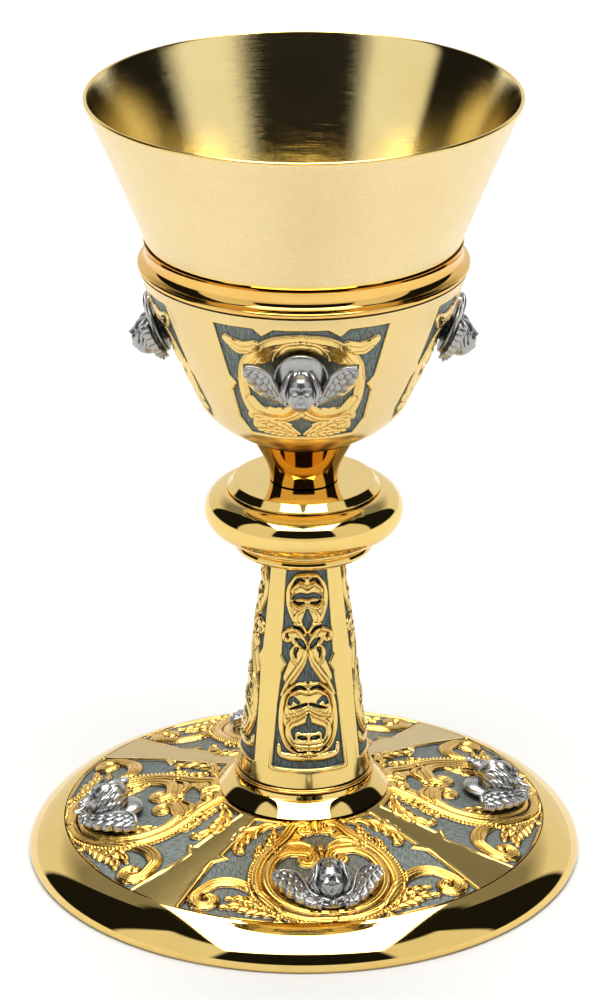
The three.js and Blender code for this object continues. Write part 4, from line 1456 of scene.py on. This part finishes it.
@dataclass
class Foot:
    """The domed foot with four fan-shaped panels of acanthus scrolls."""

    turn: float = 7.3

    OUTLINE = (
        (0, 23.2), (7.4, 22.0), (14.4, 18.2), (19.0, 24.4), (23.9, 30.4), (22.6, 31.9), (26.7, 32.6),
        (36.9, 47.9), (28.0, 53.6), (15.0, 58.4), (14.1, 56.6), (12.3, 59.1), (0, 60.4),
    )
    STROKES = (
        leaf(0.22, (0.6, 2.4, 0.7), (13.2, 52.6), (11.0, 48.0), (10.8, 42.6), (12.6, 38.4)),
        plate(0.05, (2.3, 2.9, 3.2), (10.8, 31.0), (7.4, 27.2), (4.2, 23.4)),
        plate(0.05, (1.6, 2.0, 1.8), (3.0, 31.6), (6.4, 30.6), (9.6, 30.2)),
        leaf(0.42, (0.8, 3.1, 0.7), (13.4, 57.2), (18.0, 53.4), (22.6, 50.9), (26.8, 50.6), lobes=6),
        leaf(0.46, (0.5, 1.9, 0.5), (15.0, 54.6), (18.6, 50.4), (22.0, 48.2), (25.2, 47.6)),
        leaf(0.42, (1.0, 1.7, 0.4), (30.4, 43.2), (33.4, 45.6), (33.8, 48.6), lobes=3),
        fluted(0.55, (1.0, 1.9, 1.5), (12.2, 56.2), (15.0, 50.6), (18.6, 45.0), (22.8, 41.5), (27.2, 40.8),
            (30.6, 42.8), curl=(13.0, 290), lobes=4),
        leaf(0.48, (0.8, 2.7, 0.8), (8.8, 21.8), (13.6, 21.6), (18.0, 24.4), (20.2, 28.6),
            curl=(2.6, 150)),
        leaf(0.5, (1.0, 2.7, 0.5), (10.6, 32.0), (11.4, 28.2), (10.4, 23.6)),
        leaf(0.45, (0.7, 1.7, 0.4), (13.6, 35.4), (15.4, 31.8), (14.6, 28.4), lobes=4),
        fluted(0.5, (0.9, 1.5, 1.5), (0, 56.8), (6.0, 55.8), (11.0, 52.2), (14.0, 46.4), (14.2, 40.4),
            (12.2, 35.6), (8.8, 32.9), (5.0, 33.2), curl=(9.4, -265), lobes=2),
        cord(0.42, (0.4, 0.9, 0.5), (2.4, 31.0), (5.2, 29.2), (7.6, 29.4), (9.8, 31.2)),
        fluted(0.52, (1.1, 1.5, 1.4), (0, 59.3), (7.0, 58.3), (13.0, 54.3), (16.9, 47.4), (17.1, 41.0),
            (15.2, 35.2), (11.8, 30.6), (8.4, 27.0), (6.4, 23.8), curl=(10.5, -285), lobes=2),
        beads(0.42, (0.42, 0.5, 0.4), (4.0, 60.4), (9.6, 59.0), (14.7, 54.9), (18.7, 48.0), (18.9, 40.8),
            (16.9, 34.6), (13.0, 29.6), lobes=1.05),
        leaf(0.5, (0.4, 1.3, 0.8), (0, 35.2), (0, 31.2), lobes=2, both=False),
        cord(0.42, (0.6, 1.4, 0.9), (0, 26.0), (0, 21.4), both=False),
        slot(-0.5, (0.1, 2.4, 0.1), (0, 30.7), (0, 28.6), (0, 26.5), both=False),
    )

    def profile(self) -> np.ndarray:
        """Rows from the border up the straight dome, and flat under the collar."""
        edge, panel = np.linspace(60.7, 60.2, 3), np.linspace(60.1, 22.4, 190)
        rows = np.concatenate([edge, panel, [21.8, 20.6, 17.5, 14.5]])
        level = 16.8 - DOME_SLOPE * np.clip(rows - 21.8, 0, None)
        return np.stack([rows, level], axis=1)

    def build(self) -> None:
        """Makes the quarters."""
        ReliefWall(
            name="foot_quarter", node="foot", turn=self.turn, half=39.0, columns=296,
            profile=self.profile(), wall=1.5, flat=True, outline=self.OUTLINE, strokes=self.STROKES,
            finish=FOOT_WORK,
        ).build()


@dataclass
class Cherub:
    """A cast head with two wings and a ruff, made in its own frame: right, rise and out of the wall.

    FEATURES holds each soft bump of the face: its place along right and rise, its half widths along both,
    and how far it stands out. LEAD and TRAIL are the points of a wing's leading and trailing lines, TIERS
    the feathers in each tier from the bone outwards, and LEAVES the start, end and width of the ruff's
    leaves.

    Attributes:
        nod: Degrees that the face leans towards the chin's side.
        size: Scale of the head.
        spread: Scale of the wings along right.
        lift: Scale of the wings along rise.
        drop: Where the chin lies along rise.
        wavy: Whether the hair falls in long waves, and is not drawn back smooth.
    """

    nod: float
    size: float
    spread: float
    lift: float
    drop: float
    wavy: bool

    FEATURES = {
        "tip of the nose": (0, -0.13, 0.10, 0.09, 0.75),
        "bridge of the nose": (0, 0.02, 0.07, 0.16, 0.5),
        "nostrils": (0.1, -0.16, 0.06, 0.05, 0.25),
        "eye sockets": (0.33, 0.03, 0.19, 0.12, -0.62),
        "eyeballs": (0.33, 0.02, 0.10, 0.075, 0.42),
        "upper lids": (0.33, 0.095, 0.13, 0.022, 0.16),
        "lower lids": (0.33, -0.05, 0.12, 0.02, 0.1),
        "brows": (0.34, 0.2, 0.22, 0.05, 0.28),
        "cheeks": (0.44, -0.26, 0.24, 0.22, 0.55),
        "upper lip": (0, -0.36, 0.15, 0.035, 0.34),
        "lower lip": (0, -0.455, 0.12, 0.04, 0.34),
        "line of the mouth": (0, -0.405, 0.17, 0.016, -0.34),
        "corners of the mouth": (0.19, -0.4, 0.04, 0.04, -0.16),
        "fold above the chin": (0, -0.54, 0.16, 0.05, -0.22),
        "chin": (0, -0.68, 0.2, 0.13, 0.5),
        "forehead": (0, 0.45, 0.5, 0.25, 0.3),
    }
    LEAD = ((2.0, -6.4), (5.0, -4.4), (6.4, -0.6), (7.8, 2.4), (10.2, 4.1), (12.8, 4.2))
    TRAIL = ((3.0, -8.6), (6.8, -6.8), (9.8, -4.4), (12.0, -1.6), (13.6, 1.2), (13.7, 3.8))
    TIERS = (8, 7, 6)
    LEAVES = (((2.4, -7.2), (6.0, -7.9), 0.95), ((3.4, -5.6), (6.8, -5.8), 0.8))

    def _lean(self, points: np.ndarray) -> np.ndarray:
        """Turns points about the right axis by the nod, and sets the head on the wall."""
        angle = math.radians(self.nod)
        x, y, z = (points * self.size).T
        y2, z2 = y * math.cos(angle) + z * math.sin(angle), z * math.cos(angle) - y * math.sin(angle)
        return np.stack([x, y2 + self.drop + 6.0 * self.size, z2 + 3.6], axis=1)

    def head(self) -> Shell:
        """A child's head: an ellipsoid whose front is raised and sunk by soft bumps.

        Each feature is a Gaussian of the direction's right and rise components. They are placed by the
        halves and thirds of a face: eyes at half height, nose and mouth at thirds of what is below.
        """
        shell, way = globe((4.5, 5.6, 4.6), (0, 0, 0), 80, 60)
        u, v, w = way.T
        front = np.clip(w * 2.2, 0, 1)

        def bump(right: float, up: float, wide: float, high: float, lift: float) -> np.ndarray:
            """One bump, mirrored if it lies off the middle."""
            one = np.exp(-(((u - right) / wide) ** 2) - ((v - up) / high) ** 2)
            if right:
                one = one + np.exp(-(((u + right) / wide) ** 2) - ((v - up) / high) ** 2)
            return lift * one

        rise = sum(bump(*feature) for feature in self.FEATURES.values())
        jaw = 1 - 0.16 * np.clip(-v, 0, 1) ** 1.5
        shell.points[:, 0] *= jaw
        shell.points += way * (rise * front)[:, None]
        shell.points = self._lean(shell.points)
        return shell

    def hair(self) -> list[Shell]:
        """A cap of combed hair and the locks that frame the face.

        The cap is an ellipsoid set up and back so that its edge makes the hairline, ribbed by a sine of the
        angle about the brow. Each lock is a tapering tube along a waved arc beside the face.
        """
        cap, way = globe((4.72, 5.15, 4.5), (0, 1.25, -0.7), 100, 44)
        u, v, w = way.T
        comb = np.sin(26 * np.arctan2(u, w + 0.9) + 3 * v)
        part = np.exp(-((u / 0.06) ** 2)) * (w > 0)
        rise = 0.13 * comb * np.clip(1 - v**4, 0, 1) - 0.35 * part + 0.1 * np.sin(9 * v)
        cap.points += way * rise[:, None]
        locks = [cap]
        count = 7 if self.wavy else 5
        t = np.linspace(0, 1, 16)
        for side in (-1, 1):
            for k in range(count):
                back = k / (count - 1)
                start = np.radians(62 - 26 * back)
                end = np.radians(-34 - 18 * back) if self.wavy else np.radians(-22 - 12 * back)
                lat = start + (end - start) * t
                bow = 4.4 + 0.35 * np.sin(np.pi * t)
                wave = (0.32 if self.wavy else 0.16) * np.sin(2 * np.pi * (1.6 * t + 0.37 * k))
                depth = 2.5 - 4.6 * back
                x = side * (bow * np.cos(lat) * (0.86 + 0.14 * back) + 0.35 + wave)
                y = 5.7 * np.sin(lat)
                z = depth * np.cos(0.6 * lat) + 0.9 * np.sin(np.pi * t) + 0.6 * wave
                width = 0.72 * np.sin(np.pi * np.clip(0.12 + 0.84 * t, 0, 1)) ** 0.6
                facing = np.array([side * 0.8, 0.1, 0.6])
                locks.append(sweep(np.stack([x, y, z], axis=1), width, 0.6 * width, facing, 8))
        for lock in locks:
            lock.points = self._lean(lock.points)
        return locks

    def wing(self, side: int) -> list[Shell]:
        """A wing: one lens-shaped sheet between a leading and a trailing line, ridged into three tiers.

        The point (s, t) lies t of the way from the leading line to the trailing line at s. The front is
        arched over t, stepped down where one tier of feathers ends on the next, and ridged by the sine of
        each tier's own feather count. The trailing line is drawn in between the feather tips.

        Args:
            side: 1 for right, -1 for left.

        Returns:
            The sheet and the bone along its leading line.
        """
        lead, trail = spline(self.LEAD, 14), spline(self.TRAIL, 14)
        count, rows = len(lead), 32
        s = np.linspace(0, 1, count)[:, None]
        t = np.linspace(0, 1, rows)[None, :]
        slant = s + 0.1 * t

        short, middle, long = (np.abs(np.sin(np.pi * number * slant)) ** 0.6 for number in self.TIERS)
        way = t * (1 - 0.15 * (1 - long))
        first, second = 0.36 - 0.07 * (1 - short), 0.68 - 0.09 * (1 - middle)
        lap = 0.03
        near = np.clip((first - way) / lap, 0, 1)
        mid = np.clip((second - way) / lap, 0, 1)
        ridge = near * short + (1 - near) * (mid * middle + (1 - mid) * long)
        barbs = 0.035 * np.sin(np.pi * (44 * s + 20 * t))
        across = np.sin(np.pi * np.clip(0.25 + 0.6 * (1 - way), 0, 1))
        arch = 1.5 + 1.2 * across * np.sin(np.pi * (0.15 + 0.75 * s))
        front = arch + 0.42 * near + 0.3 * mid + 0.34 * ridge + barbs
        x = lead[:, :1] + (trail[:, :1] - lead[:, :1]) * way
        y = lead[:, 1:] + (trail[:, 1:] - lead[:, 1:]) * way
        face = np.stack([side * x * self.spread, y * self.lift, front], axis=-1)
        back = face[:, ::-4].copy()
        back[..., 2] = 0.4 * back[..., 2] - 0.2
        grid = np.concatenate([face, back], axis=1)
        ring = grid.shape[1]
        caps = [np.arange(ring)[None], ((count - 1) * ring + np.arange(ring)[::-1])[None]]
        quads = grid_quads(count, ring, False, True)
        sheet = Shell(grid.reshape(-1, 3), [quads, *caps], [0, 0, 0]).outward()
        out = 2.1 + 0.9 * np.sin(np.pi * s[:, 0])
        bone = np.stack([side * lead[:, 0] * self.spread, lead[:, 1] * self.lift, out], axis=1)
        girth = np.interp(s[:, 0], [0, 0.4, 1], [0.5, 0.8, 0.45])
        return [sheet, sweep(bone, girth, girth, np.array([0.0, 0.0, 1.0]), 10)]

    def ruff(self) -> list[Shell]:
        """The scrolled collar below the chin: a pair of volutes, with two folded leaves beside each.

        A leaf is a tube along a low arch whose half width follows the square root of a half sine.
        """
        shells = []
        out = np.array([0.0, 0.0, 1.0])
        scroll = cord(0, (1, 1, 1), (0.5, -9.0), (0.8, -7.4), (2.0, -6.6), curl=(3.6, -230))
        for side in (-1, 1):
            curl = scroll.line()
            run = np.linspace(0, 1, len(curl))
            line = np.stack([side * curl[:, 0], curl[:, 1] * self.lift, 2.3 + 0.6 * run], axis=1)
            girth = 0.55 - 0.2 * run
            shells.append(sweep(line, girth, girth, out, 10))
            t = np.linspace(0, 1, 20)[:, None]
            for k, (start, end, wide) in enumerate(self.LEAVES):
                flat = np.array(start) * (1 - t) + np.array(end) * t
                rise = np.sin(np.pi * t[:, 0])
                up, above = (flat[:, 1] + 0.5 * rise) * self.lift, 1.6 + 0.2 * k + 0.6 * rise
                line = np.stack([side * flat[:, 0], up, above], axis=1)
                width = wide * np.sqrt(np.clip(rise, 0.03, 1))
                shells.append(sweep(line, width, 0.55 * width, out, 12))
        return shells

    def mount(self) -> Shell:
        """The low pad that joins head and wings and sits on the wall."""
        shell, _ = globe((6.4 * self.spread, 7.2 * self.lift, 1.9), (0, -0.6, 0.6), 40, 20)
        shell.points[:, 2] = np.maximum(shell.points[:, 2], 0.0)
        return shell

    def shell(self) -> Shell:
        """The whole casting, tagged with its hollows."""
        parts = [self.head(), *self.hair(), *self.wing(1), *self.wing(-1), *self.ruff(), self.mount()]
        parts = [part.outward() for part in parts]
        for part in parts:
            # The hollow value darkens the castings' recesses: oxide and painted shade.
            part.tags["hollow"] = hollows(part)
        return merged(parts)


@dataclass
class CherubSet:
    """Four castings round a wall."""

    name: str
    node: str
    turn: float
    radius: float
    height: float
    tilt: float
    cherub: Cherub

    def build(self) -> None:
        """Places the casting: out is the wall's normal, rise runs up the wall, right is across it."""
        shell = self.cherub.shell()
        for k in range(QUARTERS):
            azimuth = math.radians(self.turn + QUARTER * k)
            radial = np.array([math.sin(azimuth), -math.cos(azimuth), 0.0])
            up = np.array([0.0, 0.0, 1.0])
            tilt = math.radians(self.tilt)
            out = radial * math.cos(tilt) - up * math.sin(tilt)
            rise = radial * math.sin(tilt) + up * math.cos(tilt)
            right = np.cross(rise, out)
            origin = radial * self.radius + up * self.height + out * 0.3
            points = origin + shell.points @ np.stack([right, rise, out])
            placed = Shell(points, list(shell.faces), list(shell.zones), dict(shell.tags)).outward()
            name, node = f"{self.name}_{k + 1}", f"{self.node}_{k + 1}"
            put_piece(name, placed, [CAST_SILVER], Body.STAND, [node], 70)


class Fixings:
    """The hidden hardware, which keeps its CAD mesh."""

    STEEL_NODES = ("cup_stud", "cup_coupling", "tie_rod", "foot_washer", "foot_nut")

    def build(self) -> None:
        """Gives each node its finish."""
        names = list(self.STEEL_NODES)
        names += [f"{place}_cherub_nut_{k}" for place in ("calyx", "foot") for k in range(1, QUARTERS + 1)]
        for name in names:
            self._dress(name, STEEL)
        self._dress("cup_seal", LEATHER)

    def _dress(self, name: str, finish: Plain) -> None:
        """Assigns a finish to every slot of a CAD node."""
        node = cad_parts[name]
        for slot in node.material_slots:
            slot.material = dressed(finish)
        LOG.info("%s: %s", name, finish.name)


# ---------------------------------------------------------------------------------------- studio


@dataclass
class Studio:
    """A pale floor, a camera, and the soft boxes and dark corners of the room.

    The pairs below are the soft edges of the room's parts: the values between which each fades.

    Attributes:
        camera_place: Where the camera stands.
        camera_dip: Degrees that it looks down.
        lens: Its focal length in millimetres.
        shift: Its sideways shift.
        floor_size: Side of the floor.
        fill_power: Power of the lamp above.
        top_glow: Brightness of the box overhead.
        side_glow: Brightness of the walls and screens.
        dim: Brightness of everything else.
        box_across: The box's edges in |x / z|, at y / z of 0.
        box_along: The box's ends in |y / z| from its middle.
        box_middle: The middle's y / z.
        box_lean: How much narrower the box gets for each unit of y / z.
        door: The door's sides, in the part of the level direction that points to -Y.
        door_sill: The door's lower edge, in z.
        flank: The front edges of the gaps beside the screens, in the same part as the door.
        rear: Where the gaps end and the rear wall begins, in the same part.
        flank_sill: The gaps' lower edge, in z.
        rear_dim: Where the rear wall dims upwards, in z.
        rear_share: How much of its glow it loses there.
        wall_top: The walls' upper edge, in z.
        horizon: Where the box is cut off, in z.
    """

    camera_place: tuple[float, float, float] = (0.0, -1.02686, 0.52249)
    camera_dip: float = 22.606
    lens: float = 161.85
    shift: float = 0.0017
    floor_size: float = 12.0
    top_glow: float = 5.5
    side_glow: float = 0.9
    dim: float = 0.012
    fill_power: float = 14
    box_across: Point2 = (0.43, 0.45)
    box_along: Point2 = (0.79, 0.82)
    box_middle: float = 0.07
    box_lean: float = 0.2
    door: Point2 = (0.785, 0.815)
    door_sill: Point2 = (0.20, 0.23)
    flank: Point2 = (0.15, 0.2)
    rear: Point2 = (-0.64, -0.6)
    flank_sill: Point2 = (0.02, 0.06)
    rear_dim: Point2 = (0.42, 0.6)
    rear_share: float = 0.7
    wall_top: Point2 = (0.80, 0.83)
    horizon: Point2 = (0.05, 0.1)

    def camera(self) -> None:
        """Sets the camera level across, dipped towards the stem."""
        lens = bpy.data.cameras.new("camera")
        lens.lens = self.lens
        lens.shift_x = self.shift
        lens.clip_start = 0.01
        view = bpy.data.objects.new("camera", lens)
        view.location = self.camera_place
        view.rotation_euler = (math.radians(90 - self.camera_dip), 0, 0)
        bpy.context.scene.collection.objects.link(view)
        bpy.context.scene.camera = view

    def floor(self) -> None:
        """A wide plain floor, very slightly mottled."""
        span = np.linspace(-self.floor_size / 2, self.floor_size / 2, 9)
        x, y = np.meshgrid(span, span, indexing="ij")
        points = np.stack([x, y, np.zeros_like(x)], axis=-1).reshape(-1, 3)
        mesh = bpy.data.meshes.new("floor")
        mesh.from_pydata(points.tolist(), [], grid_quads(9, 9, False, False).tolist())
        g = Graph("pale floor")
        mottle = g.noise(g.place(), 1.5, 2)
        g.wire("Base Color", g.blend(mottle, (0.60, 0.60, 0.595), (0.58, 0.58, 0.575)))
        g.wire("Roughness", 0.9)
        g.wire("Specular IOR Level", 0.1)
        mesh.materials.append(g.material)
        ground = bpy.data.objects.new("floor", mesh)
        bpy.context.scene.collection.objects.link(ground)

    def room(self) -> None:
        """A soft box overhead, lit screens beside and behind, and dark gaps between them.

        The glow is a function of the direction (x, y, z). The box fills a trapezium of x / z and y / z.
        Below about 55 degrees the walls' glow depends on how far the direction turns from -Y: a dark door
        towards -Y, a screen on each side of it, a dark gap at each flank, and a wall behind that dims
        upwards.
        """
        world = bpy.data.worlds.new("room")
        g = Graph("room", world)
        way = g.put("ShaderNodeTexCoord").outputs["Generated"]
        x, y, z = g.put("ShaderNodeSeparateXYZ", None, {0: way}).outputs[:]
        flat = g.put("ShaderNodeVectorMath", {"operation": "MULTIPLY"}, {0: way, 1: (1, 1, 0)}).outputs[0]
        flat = g.put("ShaderNodeVectorMath", {"operation": "NORMALIZE"}, {0: flat}).outputs[0]
        before = g.times(g.put("ShaderNodeSeparateXYZ", None, {0: flat}).outputs[1], -1.0)
        sideways, onward = g.math("DIVIDE", x, z), g.math("DIVIDE", y, z)
        width = g.plus(g.math("ABSOLUTE", sideways), g.times(onward, self.box_lean))
        across = g.span(width, *self.box_across, 1, 0)
        along = g.span(g.math("ABSOLUTE", g.plus(onward, -self.box_middle)), *self.box_along, 1, 0)
        over = g.span(z, *self.horizon)
        box = g.times(g.times(across, along), g.times(over, self.top_glow))
        door = g.times(g.span(before, *self.door), g.span(z, *self.door_sill))
        gap = g.times(g.span(before, *self.flank, 1, 0), g.span(before, *self.rear))
        gap = g.times(gap, g.span(z, *self.flank_sill))
        behind = g.times(g.span(before, *self.rear, 1, 0), g.span(z, *self.rear_dim, 0, self.rear_share))
        lit = g.span(z, *self.wall_top, 1, 0)
        for shade in (door, gap, behind):
            lit = g.times(lit, g.plus(g.times(shade, -1.0), 1.0))
        total = g.plus(g.plus(box, g.times(lit, self.side_glow)), self.dim)
        tone = g.put("ShaderNodeCombineColor", None, {0: total, 1: total, 2: total}).outputs[0]
        back = g.put("ShaderNodeBackground", None, {"Color": tone, "Strength": 1.0})
        out = g.put("ShaderNodeOutputWorld")
        g.tree.links.new(back.outputs[0], out.inputs[0])
        bpy.context.scene.world = world

    def fill(self) -> None:
        """A broad soft lamp for the floor, which the polished metal doesn't mirror."""
        lamp = bpy.data.lights.new("fill", "AREA")
        lamp.shape = "DISK"
        lamp.size = 4.0
        lamp.energy = self.fill_power
        placed = bpy.data.objects.new("fill", lamp)
        placed.location = (0, 0, 3.0)
        placed.visible_glossy = False
        bpy.context.scene.collection.objects.link(placed)

    def build(self) -> None:
        """Sets everything up, with colours shown as they are."""
        self.camera()
        self.floor()
        self.room()
        self.fill()
        bpy.context.scene.view_settings.view_transform = "Standard"


def main() -> None:
    """Builds the studio and every sub-assembly in order."""
    logging.basicConfig(level=logging.INFO, format="%(name)s %(message)s")
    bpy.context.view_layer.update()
    Studio().build()
    Cup().build()
    CalyxLip().build()
    Bowl().build()
    NeckAndKnop().build()
    Stem().build()
    Mouldings().build()
    Foot().build()
    bowl_cherub = Cherub(nod=38, size=0.9, spread=1.0, lift=0.98, drop=-7.6, wavy=False)
    foot_cherub = Cherub(nod=-42, size=0.94, spread=1.0, lift=1.1, drop=-7.4, wavy=True)
    CherubSet("calyx_casting", "calyx_cherub", -1.0, 34.9, 142.0, 22.6, bowl_cherub).build()
    CherubSet("foot_casting", "foot_cherub", 7.3, 48.0, 11.59, -78.75, foot_cherub).build()
    Fixings().build()


if __name__ == "__main__":
    main()
